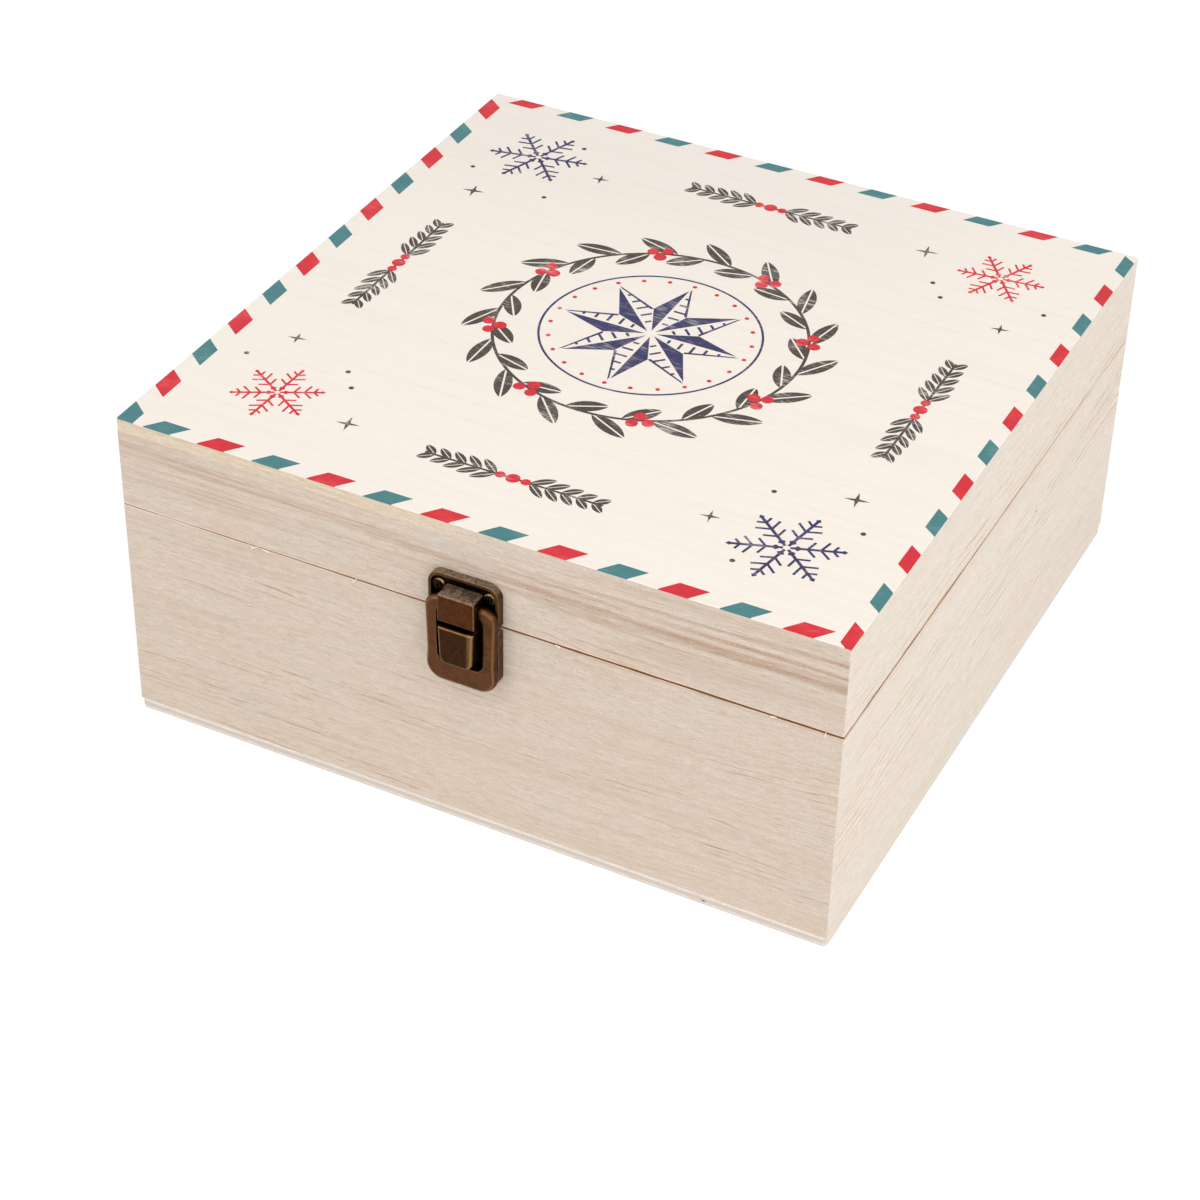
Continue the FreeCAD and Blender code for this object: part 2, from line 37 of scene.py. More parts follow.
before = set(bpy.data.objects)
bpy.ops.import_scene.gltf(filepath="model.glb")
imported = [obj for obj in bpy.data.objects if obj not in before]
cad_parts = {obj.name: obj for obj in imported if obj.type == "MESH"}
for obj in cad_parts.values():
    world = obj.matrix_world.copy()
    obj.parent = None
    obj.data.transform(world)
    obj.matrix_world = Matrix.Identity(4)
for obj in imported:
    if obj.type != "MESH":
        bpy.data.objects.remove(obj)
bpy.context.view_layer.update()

MM = 0.001
IN_MILLIMETRES = (1000.0, 1000.0, 1000.0)
LID_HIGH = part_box("lid_top_panel")[1]
LID_TOP = LID_HIGH.z
LID_HALF = LID_HIGH.x
LID_CORNER = 0.8 * MM
LID_ARRIS = 0.5 * MM
SEAM_HEIGHT = (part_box("base_front_wall")[1].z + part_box("lid_front_wall")[0].z) / 2
FRONT_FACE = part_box("base_front_wall")[0].y

FRONT_AND_BACK_BOARDS = ("base_front_wall", "base_back_wall", "lid_front_wall", "lid_back_wall")
SIDE_BOARDS = ("base_left_wall", "base_right_wall", "lid_left_wall", "lid_right_wall")
CLASP_PLATES = ("clasp_lid_plate", "clasp_base_plate")
CLASP_SCREWS = ("clasp_lid_screws", "clasp_base_screws")
LEFT_HINGE_LEAVES = ("left_hinge_base_leaf", "left_hinge_lid_leaf")
RIGHT_HINGE_LEAVES = ("right_hinge_base_leaf", "right_hinge_lid_leaf")
HINGE_SCREWS_AND_PINS = ("hinge_lid_screws", "hinge_base_screws", "left_hinge_pin", "right_hinge_pin")

# Each side of the lid's border, anticlockwise from the front-left corner, in degrees and millimetres:
# the side's turn, the first stripe's start, the pitch, a stripe's length, the band's width, the first ink.
BORDER_SIDES = (
    (0.0, 10.4, 20.65, 10.2, 6.0, "teal"),
    (90.0, -1.6, 22.30, 11.3, 4.5, "red"),
    (180.0, 9.2, 20.83, 10.2, 5.2, "teal"),
    (270.0, 5.2, 22.10, 11.0, 6.6, "red"),
)
STRIPES_PER_SIDE = 12
STRIPE_SLANT = 0.78
STRIPE_INSET = 0.06 * MM

# Where stripes are divided near the lid's ends, in millimetres; what lies past the last is cut away.
STRIPE_CUTS = (1.4, 1.1, 0.85, 0.6, 0.4, 0.22, 0.06)

# Motifs lie on levels this far apart, in turn, to keep overlapping faces from coinciding.
INK_STEP = 0.0004 * MM
INK_LEVELS = 29

# How worn the border's inks are, and how many ink rises the upper inks of the ornament stand above the wash.
BORDER_WEAR = 0.08
NAVY_RISES = 1.7
RED_RISES = 2.4

# Corners of the printed dots, leaves and rings.
DOT_CORNERS = 28
LEAF_CORNERS = 32
RING_CORNERS = 96

# Torn fibres along the saw cut: distance along the front and length in millimetres, and lean in degrees.
SEAM_FIBRES = (
    (-80.0, 3.4, 32.0),
    (-73.4, 2.6, 156.0),
    (-41.6, 2.8, 52.0),
    (33.5, 1.8, 140.0),
    (105.8, 2.4, 28.0),
    (124.0, 2.3, 82.0),
)
FIBRE_ROOT = 0.42 * MM
FIBRE_TIP = 0.12 * MM
FIBRE_CURL = 0.75 * MM

# Small dark marks, centre and reach in millimetres: a gap in the plywood's edge, a fleck on the right face.
PLY_VOID = ((86.6, -129.7, 1.5), (0.8, 3.0, 0.5))
RIGHT_FLECK = ((130.0, 42.2, 63.7), (1.0, 1.2, 0.5))

# How the grain of each board is turned, in degrees, and shifted, in metres.
FRONT_GRAIN = ((0.0, 1.6, 0.0), (0.013, 0.0, 0.021))
SIDE_GRAIN = ((0.0, 0.0, 90.0), (0.31, 0.07, 0.04))
TOP_GRAIN = ((0.0, 0.0, 0.8), (0.21, 0.05, 0.013))
PLY_GRAIN = ((0.0, 0.0, 0.0), (0.4, 0.2, 0.1))
FIBRE_GRAIN = ((0.0, 0.0, 0.0), (0.02, 0.0, 0.0))

# How much a dark fibre takes from red, green and blue: most from blue, so that it looks warm.
FIBRE_WARMTH = (0.8, 1.0, 1.3)

WOOD_GLOSS = 0.3
INK_GLOSS = 0.35
INK_RELIEF = 0.02 * MM
METAL_RELIEF = 0.04 * MM
METAL_BUMP = 0.6

# Place and width of each soft light, and the point that they are aimed at, in metres.
KEY_LIGHT = ((1.25, -0.45, 1.15), 1.5)
FILL_LIGHT = ((-1.2, -1.5, 1.0), 1.4)
TOP_LIGHT = ((-0.4, -0.6, 1.55), 1.4)
LIGHT_AIM = (0.0, 0.0, 0.06)

# The floor's half width, where it starts to turn plain white and where it has, in metres.
FLOOR_HALF = 6.0
WHITE_FROM = 0.5
WHITE_AT = 1.8

# How brightly the floor shows as plain white, where 1 is the picture's white.
FLOOR_GLOW = 1.065

CAMERA_PLACE = (0.37419, -0.79532, 0.66294)
CAMERA_RIGHT = (0.89107544, 0.45348546, 0.01831657)
CAMERA_UP = (-0.2846114, 0.52689949, 0.80085784)
CAMERA_BACK = (0.35352639, -0.71883786, 0.59857432)
CAMERA_LENS = 90.558
CAMERA_SENSOR = 36.0
CAMERA_RANGE = (0.02, 30.0)


def tone(red, green, blue):
    """Turns screen values from 0 to 255 into the linear colour that Blender's sockets hold."""
    levels = []
    for value in (red, green, blue):
        level = value / 255.0
        levels.append(level / 12.92 if level <= 0.04045 else ((level + 0.055) / 1.055) ** 2.4)
    return tuple(levels)


PINK_TINT = tone(222, 190, 170)
GREY_TINT = tone(214, 206, 194)
VOID_BROWN = tone(92, 74, 64)
WHITE = tone(255, 255, 255)


def colour_setting(name, description, default):
    """A colour that a user can change, by default one in screen values from 0 to 255."""
    return bpy.props.FloatVectorProperty(
        name=name, description=description, subtype="COLOR", size=3, min=0.0, max=1.0, default=tone(*default)
    )


def number_setting(name, description, default, **limits):
    """A number from 0 that a user can change."""
    return bpy.props.FloatProperty(name=name, description=description, default=default, min=0.0, **limits)


def length_setting(name, description, default):
    """A length that a user can change."""
    return number_setting(name, description, default, precision=5, unit="LENGTH")


def share_setting(name, description, default):
    """A share from none to full that a user can change."""
    return number_setting(name, description, default, max=1.0, subtype="FACTOR")


class WoodSettings(bpy.types.PropertyGroup):
    """Colours of the boards, the saw cut, the white wash and the plywood."""

    pale: colour_setting("Front boards", "Ground colour of the front and back boards", (223, 207, 191))
    side: colour_setting("Side boards", "Ground colour of the left and right boards", (229, 218, 206))
    edge: colour_setting("Top board edge", "Left half of the top board's front edge", (233, 215, 191))
    streak: colour_setting("Streak", "Brown streaks along the front's grain", (188, 156, 130))
    side_streak: colour_setting("Side streak", "Ochre lines along the sides' grain", (203, 170, 130))
    pore: colour_setting("Pore", "Short dark pores in the grain", (158, 118, 90))
    saw: colour_setting("Saw cut", "Browned saw cut near the front right corner", (136, 82, 30))
    pale_saw: colour_setting("Pale saw cut", "Saw cut away from that corner", (206, 176, 136))
    stain: colour_setting("Stain", "Ochre stain beside the saw cut", (204, 160, 112))
    # Lip: painted highlights along both edges of the saw cut; the torn fibres take this colour too.
    lip: colour_setting("Lip", "Pale lips of the saw cut", (250, 234, 220))
    wash: colour_setting("White wash", "Wash on the top of the lid", (249, 240, 230))
    # Painted shade: the wash turns greyer towards the back of the lid, away from its lit right end.
    painted_shade_wash: colour_setting("Back wash", "Wash towards the back of the lid", (245, 236, 227))
    ply: colour_setting("Plywood face", "Outer layers of the bottom", (243, 233, 223))
    core: colour_setting("Plywood core", "Middle layer of the bottom, seen at its edge", (218, 207, 197))
    side_streaks: share_setting("Side streaks", "How strong the streaks of the side boards are", 0.12)
    front_streaks: share_setting("Front streaks", "How brown the lid's front streaks are", 0.44)
    grain_depth: length_setting("Grain depth", "Depth of the open grain", 0.045 * MM)


class PrintSettings(bpy.types.PropertyGroup):
    """Inks and sizes of the print on the lid."""

    red: colour_setting("Red ink", "Red stripes and berries", (213, 35, 49))
    teal: colour_setting("Teal ink", "Teal stripes", (66, 124, 128))
    navy: colour_setting("Navy ink", "Star and snowflakes", (41, 40, 88))
    charcoal: colour_setting("Charcoal ink", "Wreath and sprigs", (66, 56, 48))
    ink_rise: length_setting("Ink rise", "How far the ink stands above the wash", 0.03 * MM)
    ink_body: length_setting("Ink body", "Thickness of the ink, partly soaked in", 0.05 * MM)
    wreath_radius: length_setting("Wreath radius", "Radius of the wreath's stem", 54.0 * MM)
    star_radius: length_setting("Star radius", "Reach of the star in the wreath", 33.0 * MM)
    snowflake_radius: length_setting("Snowflake radius", "Reach of the corner snowflakes", 19.0 * MM)


class MetalSettings(bpy.types.PropertyGroup):
    """Colours of the aged clasp and hinges."""

    copper: colour_setting("Copper brown", "Bail", (97, 60, 37))
    bracket: colour_setting("Bracket brown", "Bracket", (82, 43, 17))
    keeper: colour_setting("Keeper brown", "Keeper", (52, 26, 2))
    bronze: colour_setting("Bronze", "Plates and hinges", (88, 62, 36))
    # Grit: a real rough finish on upper sides, painted lighter there as if lit from above.
    grit: colour_setting("Grit", "Rough grey-brown finish on upper sides", (142, 120, 98))
    # Rubbed brass: real wear on edges, also used for painted highlights along edges, painted glints and a
    # painted bright side.
    rubbed: colour_setting("Rubbed brass", "Metal rubbed bright at its edges", (176, 138, 92))
    # Recess: dark patina for the real tarnish mottling and gritty specks, also painted as shade on flanks,
    # tray floors and in hollows.
    patina_and_shade: colour_setting("Recess", "Dark patina that stays in the hollows", (24, 15, 9))
    screw: colour_setting("Screw", "Screws and hinge pins", (14, 10, 6))
    screw_rim: colour_setting("Screw rim", "Rims of the clasp's screw heads", (140, 118, 82))
    # The rubbed edges are partly real wear and partly painted highlights.
    edge_width: length_setting("Edge width", "Width of the rubbed edges", 0.2 * MM)


class StudioSettings(bpy.types.PropertyGroup):
    """Light and floor of the studio."""

    key_power: number_setting("Key light", "Power of the light at the right", 13.0, unit="POWER")
    fill_power: number_setting("Fill light", "Power of the light at the left", 3.2, unit="POWER")
    top_power: number_setting("Top light", "Power of the light overhead", 6.6, unit="POWER")
    sky: share_setting("Sky", "Even light from all round", 0.55)
    floor: colour_setting("Floor", "Colour of the floor", (252, 251, 250))
    floor_white: share_setting("Floor white", "How much of the floor is seen as plain white", 0.8)


def settings(name):
    """One of the scene's setting groups."""
    return getattr(bpy.context.scene, name)


def add_node(tree, kind, **values):
    """Adds a node and sets its properties."""
    node = tree.nodes.new(kind)
    for name, value in values.items():
        setattr(node, name, value)
    return node


def feed(socket, value):
    """Links an output into a socket, or sets a plain value on it; a plain colour gets full alpha."""
    if isinstance(value, Value):
        socket.id_data.links.new(value.socket, socket)
    elif socket.type == "RGBA":
        socket.default_value = (*value, 1.0)
    else:
        socket.default_value = value


def fill(node, **values):
    """Feeds a node's inputs by name; an underscore in a name stands for a space."""
    for label, value in values.items():
        feed(node.inputs[label.replace("_", " ")], value)


class Value:
    """A node's output: arithmetic with it adds nodes to its tree."""

    kind = "ShaderNodeMath"

    def __init__(self, socket):
        self.socket = socket
        self.tree = socket.id_data

    def step(self, operation, *others):
        """A node for one step of arithmetic on this and other values."""
        node = add_node(self.tree, self.kind, operation=operation)
        for socket, value in zip(node.inputs, (self, *others)):
            feed(socket, value)
        return node

    def result(self, operation, *others):
        """What one step of arithmetic gives."""
        return type(self)(self.step(operation, *others).outputs[0])

    def __add__(self, other):
        return self.result("ADD", other)

    def __sub__(self, other):
        return self.result("SUBTRACT", other)

    def __mul__(self, other):
        return self.result("MULTIPLY", other)

    def __truediv__(self, other):
        return self.result("DIVIDE", other)

    def __abs__(self):
        return self.result("ABSOLUTE")

    def larger(self, other):
        """The larger of this and another value."""
        return self.result("MAXIMUM", other)

    def rest(self):
        """What this share leaves of the whole."""
        return self * -1.0 + 1.0

    def rise(self, low, high):
        """A smooth step from 0 at low to 1 at high."""
        node = add_node(self.tree, "ShaderNodeMapRange", interpolation_type="SMOOTHSTEP")
        fill(node, Value=self, From_Min=low, From_Max=high)
        return Value(node.outputs["Result"])


class Place(Value):
    """A node's output that is a vector."""

    kind = "ShaderNodeVectorMath"

    def parts(self):
        """The three values of the vector."""
        node = add_node(self.tree, "ShaderNodeSeparateXYZ")
        feed(node.inputs[0], self)
        return [Value(socket) for socket in node.outputs]

    def length(self):
        """The vector's length."""
        return Value(self.step("LENGTH").outputs["Value"])

    def noise(self, stretch, detail, roughness=0.5):
        """Noise with this many spots per unit along each axis."""
        node = add_node(self.tree, "ShaderNodeTexNoise")
        fill(node, Vector=self * stretch, Scale=1.0, Detail=detail, Roughness=roughness)
        return Value(node.outputs[0])

    def turned(self, turn, shift):
        """The vector turned by degrees about each axis and shifted by metres."""
        node = add_node(self.tree, "ShaderNodeMapping")
        fill(node, Vector=self, Rotation=[math.radians(angle) for angle in turn], Location=shift)
        return Place(node.outputs[0])

    def spot(self, centre, reach):
        """A soft spot: 1 at its centre and 0 past its reach along each axis, both in millimetres."""
        away = (self - [value * MM for value in centre]) / [value * MM for value in reach]
        return away.length().rise(1.0, 0.5)


def outputs(node):
    """A node's outputs by name."""
    return {socket.name: (Place if socket.type == "VECTOR" else Value)(socket) for socket in node.outputs}


def coordinates(tree, name):
    """One of the coordinates of a surface, such as Object or Normal."""
    return outputs(add_node(tree, "ShaderNodeTexCoord"))[name]


def joined(tree, kind, name, *parts):
    """The named output of a node that joins three values, such as a vector or a colour."""
    node = add_node(tree, kind)
    for socket, value in zip(node.inputs, parts):
        feed(socket, value)
    return outputs(node)[name]


def mixed(share, first, second, mode="MIX"):
    """A mix of two colours, of which the share or the first comes from a node."""
    tree = share.tree if isinstance(share, Value) else first.tree
    node = add_node(tree, "ShaderNodeMix", data_type="RGBA", blend_type=mode)
    node.clamp_result = mode != "MIX"
    for number, value in ((0, share), (6, first), (7, second)):
        feed(node.inputs[number], value)
    return Value(node.outputs[2])


def start_group(name, colours, values, results, vectors=("Vector",)):
    """A shader node group with named sockets, its inputs by name and its output node."""
    group = bpy.data.node_groups.new(name, "ShaderNodeTree")
    for kind, labels in (("Vector", vectors), ("Color", colours), ("Float", values)):
        for label in labels:
            group.interface.new_socket(name=label, in_out="INPUT", socket_type="NodeSocket" + kind)
    for label in results:
        kind = "NodeSocketColor" if label == "Color" else "NodeSocketFloat"
        group.interface.new_socket(name=label, in_out="OUTPUT", socket_type=kind)
    return group, outputs(group.nodes.new("NodeGroupInput")), group.nodes.new("NodeGroupOutput")


def use_group(name, build, **values):
    """Places a node group, which is built on its first use, and gives its outputs by name."""
    group = bpy.data.node_groups.get(name) or build(name)
    node = add_node(values["Vector"].tree, "ShaderNodeGroup", node_tree=group)
    fill(node, **values)
    return outputs(node)


def build_long_grain(name):
    """Wood grain that runs along X: streaks, thin growth lines, short fibres and pores, in millimetres."""
    group, given, leave = start_group(
        name,
        colours=("Pale", "Streak", "Pore"),
        values=("Streak Share", "Line Share", "Line Spread", "Pore Share", "Tint Share"),
        results=("Color", "Height", "Roughness", "Figure"),
    )
    place = given["Vector"] * IN_MILLIMETRES
    sway = place.noise((0.0042, 0.018, 0.018), 1.0) * 17.0 - 8.5
    bent = place + joined(group, "ShaderNodeCombineXYZ", "Vector", 0.0, sway, sway)
    band = bent.noise((0.0042, 0.24, 0.24), 3.0)
    line = bent.noise((0.008, 0.70, 0.70), 3.0, 0.6)
    fibre = bent.noise((0.24, 2.0, 2.0), 3.0, 0.65)
    pore = bent.noise((0.14, 3.4, 3.4), 1.0)
    tint = place.noise((0.035, 0.07, 0.07), 2.0)
    speck = place.noise((1.1, 2.2, 2.2), 2.0, 0.6)
    figure = (band * 0.4 + line * 0.6).rise(0.42, 0.66)
    grainy = speck.rise(0.36, 0.64) * 0.8 + 0.6
    ground = mixed(figure * given["Streak Share"] * grainy, given["Pale"], given["Streak"])
    ground = mixed(tint.rise(0.50, 0.72) * 0.15 * given["Tint Share"], ground, PINK_TINT)
    ground = mixed(tint.rise(0.48, 0.28) * 0.3 * given["Tint Share"], ground, GREY_TINT)
    rows = growth_lines(place, bent, given["Line Spread"]) * given["Line Share"] * grainy
    ground = mixed(rows, ground, given["Streak"])
    dashes = pore.rise(0.63, 0.77) * given["Pore Share"]
    ground = mixed(dashes, ground, given["Pore"])
    sheen = speck * 0.48 + (fibre * 0.58 + 0.47)
    warm = [sheen * gain + (1.0 - gain) for gain in FIBRE_WARMTH]
    fill(
        leave,
        Color=mixed(1.0, ground, joined(group, "ShaderNodeCombineColor", "Color", *warm), "MULTIPLY"),
        Height=dashes * -0.8 + (rows * -0.2 + (fibre * 0.55 + line * 0.35)),
        Roughness=fibre * 0.30 + 0.45,
        Figure=figure,
    )
    return group


def growth_lines(place, bent, spread):
    """Rows of thin wavy lines along X, broken and gathered in bands, which a spread widens."""
    across, up = bent.parts()[1:]
    ripple = place.noise((0.05, 0.22, 0.22), 3.0, 0.6)
    phase = (across * 0.7 + up) * 2.2 + ripple * 7.0
    ring_line = phase.result("SINE").rise(0.60, 1.0)
    broken = bent.noise((0.035, 0.9, 0.9), 3.0, 0.6).rise(0.42, 0.60)
    gathered = bent.noise((0.008, 0.055, 0.055), 2.0) + spread
    return ring_line * broken * gathered.rise(0.50, 0.62)


def build_board_edges(name):
    """Masks along the saw cut: pale lips painted as highlights, the cut, ochre stain under it, and how far
    it is browned.
    """
    group, given, leave = start_group(
        name, colours=(), values=("Half Width", "Seam"), results=("Lip", "Saw", "Stain", "Browned")
    )
    place = given["Vector"]
    x, y, z = place.parts()
    depth = abs(x).larger(abs(y)) - given["Half Width"]
    skin = depth.rise(-0.40 * MM, -0.15 * MM)
    browned = (x - y).rise(0.0, 0.19)
    above = z - given["Seam"]
    away = abs(above)
    limit = place.noise((220.0, 220.0, 900.0), 3.0, 0.65) * (1.6 * MM) + 0.15 * MM
    burnt = place.noise((60.0, 60.0, 200.0), 3.0, 0.6).rise(0.40, 0.66)
    width = browned * (0.22 * MM) + (burnt * (0.20 * MM) + 0.18 * MM)
    cut = away.rise(width, width - 0.06 * MM)
    outer = depth.rise(-1.0 * MM, -0.4 * MM) * 0.9 + 0.1
    patch = place.noise((26.0, 26.0, 90.0), 3.0, 0.6).rise(0.46, 0.66)
    under = browned * above.rise(0.2 * MM, -0.3 * MM) * 0.9
    close = away.rise(2.2 * MM, 0.2 * MM)
    # Lip is a painted highlight along both edges of the cut.
    fill(
        leave,
        Lip=away.rise(limit, limit * 0.5) * skin,
        Saw=cut * outer,
        Stain=close * patch.larger(under) * skin,
        Browned=browned,
    )
    return group


def build_worn_ink(name):
    """Printed ink that is thin over the open grain."""
    group, given, leave = start_group(
        name, colours=("Ink", "Wash"), values=("Wear",), results=("Color", "Height", "Roughness")
    )
    place = given["Vector"] * IN_MILLIMETRES
    grain = place.noise((0.16, 2.2, 2.2), 2.0, 0.6)
    patch = place.noise((0.10, 0.13, 0.13), 3.0, 0.6)
    speck = place.noise((1.6, 2.6, 2.6), 1.0)
    bare = (patch * 0.45 + grain * 0.55).rise(0.52, 0.66) * given["Wear"]
    pinholes = speck.rise(0.68, 0.76) * 0.8 * given["Wear"]
    shade = patch * 0.36 + 0.82
    shade_colour = joined(group, "ShaderNodeCombineColor", "Color", shade, shade, shade)
    ink = mixed(1.0, given["Ink"], shade_colour, "MULTIPLY")
    fill(
        leave,
        Color=mixed(bare.larger(pinholes), ink, given["Wash"]),
        Height=grain,
        Roughness=grain * 0.3 + 0.38,
    )
    return group


def build_aged_metal(name):
    """Browned metal: mottled patina with painted glints, edges rubbed bright by wear and painted as
    highlights, gritty upper sides painted lighter as if lit from above, and painted shade on flanks, tray
    floors and in hollows.
    """
    group, given, leave = start_group(
        name,
        vectors=("Vector", "Normal"),
        colours=("Body", "Rubbed", "Recess", "Grit"),
        values=("Rub", "Shoulder", "Grit Share", "Flank Share", "Floor", "Edge Width", "Hollow Depth"),
        results=("Color", "Roughness", "Metallic", "Height"),
    )
    place = given["Vector"] * IN_MILLIMETRES
    mottle = place.noise((0.35, 0.35, 0.35), 4.0, 0.65)
    grit = place.noise((2.4, 2.4, 2.4), 2.0, 0.6)
    coarse = place.noise((2.0, 2.0, 2.0), 3.0, 0.7)
    outward, upward = given["Normal"].parts()[1:]
    facing = abs(outward)
    upper = upward.rise(0.35, 0.80)
    level = given["Shoulder"]
    # Shoulders and sharp edges are picked out for rubbing: partly real wear, partly painted highlights where
    # edges catch the light.
    shoulder = facing.rise(level - 0.22, level) * facing.rise(level + 0.22, level)
    edge = shoulder.larger(sharp_edges(given["Edge Width"]))
    # Painted shade: hollows found by ambient occlusion, side flanks and tray floors darken towards the
    # Recess colour, but faces that look up do not.
    hollow_node = add_node(group, "ShaderNodeAmbientOcclusion", samples=8)
    fill(hollow_node, Distance=given["Hollow Depth"])
    hollow = Value(hollow_node.outputs["AO"]).rise(0.70, 0.25)
    flank = facing.rise(0.40, 0.08) * given["Flank Share"]
    floor = facing.rise(0.5, 0.8) * given["Floor"]
    dark = hollow.larger(flank).larger(floor) * upper.rest()
    stained = mottle * 0.7 + grit * 0.3
    tarnish = stained.rise(0.40, 0.66)
    body = mixed(tarnish * 0.35, given["Body"], given["Recess"])
    # Painted glints: fine random specks of rubbed brass.
    body = mixed(grit.rise(0.54, 0.72) * 0.18, body, given["Rubbed"])
    rough_top = mixed(coarse.rise(0.36, 0.54), given["Recess"], given["Grit"])
    # Upper sides: a real gritty finish, painted lighter and less metallic where faces look up to the light.
    gritty = (mottle.rise(0.40, 0.56) * 0.5 + 0.5) * upper * given["Grit Share"]
    body = mixed(gritty, body, rough_top)
    # Lays the painted shade over the body.
    body = mixed(dark, body, given["Recess"])
    # Edges rubbed bright, outside the painted shade: real wear and painted highlights together.
    worn = edge * stained.rise(0.34, 0.52) * dark.rest() * given["Rub"]
    fill(
        leave,
        Color=mixed(worn, body, given["Rubbed"]),
        Roughness=worn * -0.1 + (gritty * 0.3 + (tarnish * 0.18 + 0.34)),
        Metallic=gritty * -0.85 + 1.0,
        Height=mottle * 0.5 + grit,
    )
    return group


def sharp_edges(width):
    """1 beside an edge, where a bevel of this width turns away from the face."""
    bevel = add_node(width.tree, "ShaderNodeBevel", samples=6)
    fill(bevel, Radius=width)
    surface = outputs(add_node(width.tree, "ShaderNodeNewGeometry"))
    straight = surface["Normal"].step("DOT_PRODUCT", Value(bevel.outputs[0]))
    return Value(straight.outputs["Value"]).rise(0.98, 0.84)


def empty_tree(owner):
    """The emptied node tree of a material or world."""
    owner.use_nodes = True
    owner.node_tree.nodes.clear()
    return owner.node_tree


def start_material(name):
    """An empty material, its shader and its Object coordinates."""
    material = bpy.data.materials.new(name)
    tree = empty_tree(material)
    shader = add_node(tree, "ShaderNodeBsdfPrincipled")
    end = add_node(tree, "ShaderNodeOutputMaterial")
    fill(end, Surface=Value(shader.outputs[0]))
    return material, shader, coordinates(tree, "Object")


def coat(shader, layer, depth, strength=1.0, **values):
    """Gives a shader a layer's gloss and its relief of a real depth, and other values by name."""
    bump = add_node(shader.id_data, "ShaderNodeBump")
    fill(bump, Strength=strength, Distance=depth, Height=layer["Height"])
    fill(shader, Roughness=layer["Roughness"], Normal=Value(bump.outputs[0]), **values)


def grain_layer(place, streaks, lines, pores, ground=None, streak=None, tint=1.0, spread=0.0):
    """The boards' grain in the wood settings' colours."""
    wood = settings("box_wood")
    return use_group(
        "Long Grain",
        build_long_grain,
        Vector=place,
        Pale=ground or wood.pale,
        Streak=streak or wood.streak,
        Pore=wood.pore,
        Streak_Share=streaks,
        Line_Share=lines,
        Line_Spread=spread,
        Pore_Share=pores,
        Tint_Share=tint,
    )


def side_grain(place):
    """Grain of the left and right boards along Y, with more ochre lines under the saw cut."""
    wood = settings("box_wood")
    height = place.parts()[2]
    under = height.rise(SEAM_HEIGHT + 14 * MM, SEAM_HEIGHT + 2 * MM)
    lines = under * height.rise(8 * MM, 75 * MM) * 0.95 + 0.25
    along_y = place.turned(*SIDE_GRAIN)
    return grain_layer(
        along_y, wood.side_streaks, lines, 0.15, wood.side, wood.side_streak, tint=0.5, spread=0.08
    )


def finish_board(shader, place, grain, marks=None):
    """Lays small dark marks and the saw cut's stain, painted highlight lips and browned faces over a board's
    grain.
    """
    wood = settings("box_wood")
    edges = use_group("Board Edges", build_board_edges, Vector=place, Half_Width=LID_HALF, Seam=SEAM_HEIGHT)
    colour = grain["Color"]
    if marks is not None:
        colour = mixed(marks, colour, wood.pore)
    colour = mixed(edges["Stain"] * 0.6, colour, wood.stain)
    # Painted highlights on the saw cut's lips.
    colour = mixed(edges["Lip"] * 0.5, colour, wood.lip)
    saw = mixed(edges["Browned"], wood.pale_saw, wood.saw)
    colour = mixed(edges["Saw"] * 0.9, colour, saw)
    coat(shader, grain, wood.grain_depth, Base_Color=colour, Specular_IOR_Level=WOOD_GLOSS)


def front_board_material():
    """Front and back boards: grain along X, browner towards the lid's top and its right end."""
    material, shader, place = start_material("front_board")
    x, height = place.parts()[::2]
    right = x.rise(-20 * MM, 110 * MM) * 0.46 + settings("box_wood").front_streaks
    streaks = height.rise(SEAM_HEIGHT + 4 * MM, SEAM_HEIGHT + 20 * MM) * right + 0.2
    finish_board(shader, place, grain_layer(place.turned(*FRONT_GRAIN), streaks, 0.8, 0.4))
    return material


def side_board_material():
    """Left and right boards: grain along Y, with one small dark fleck on the right."""
    material, shader, place = start_material("side_board")
    finish_board(shader, place, side_grain(place), place.spot(*RIGHT_FLECK) * 0.9)
    return material


def washed_top_material():
    """Top board: bare edges, yellower at the front's left, and a white wash, greyer towards the back with
    painted shade.
    """
    wood = settings("box_wood")
    material, shader, place = start_material("washed_top")
    along_x = place.turned(*TOP_GRAIN)
    x, y, height = place.parts()
    across, outward = coordinates(place.tree, "Normal").parts()[:2]
    left = x.rise(15 * MM, -25 * MM) * outward.rise(-0.5, -0.8)
    front = grain_layer(along_x, 0.3, 0.3, 0.3, mixed(left, wood.pale, wood.edge), tint=0.5)
    edge = mixed(abs(across).rise(0.5, 0.8), front["Color"], side_grain(place)["Color"])
    top = grain_layer(along_x, 0.3, 0.4, 0.4, wood.side)
    # Painted shade: greyer towards the back, except at the lit right end.
    back = y.rise(0.01, 0.10) * x.rise(0.12, 0.03)
    wash = mixed(back, wood.wash, wood.painted_shade_wash)
    washed = mixed(top["Figure"] * -0.06 + 0.88, top["Color"], wash)
    foot = place.noise((90.0, 90.0, 90.0), 3.0) * (0.5 * MM) + (LID_TOP - 0.6 * MM)
    colour = mixed(height.rise(foot, foot + 0.2 * MM), edge, washed)
    coat(shader, top, wood.grain_depth * 0.7, Base_Color=colour, Specular_IOR_Level=WOOD_GLOSS)
    return material


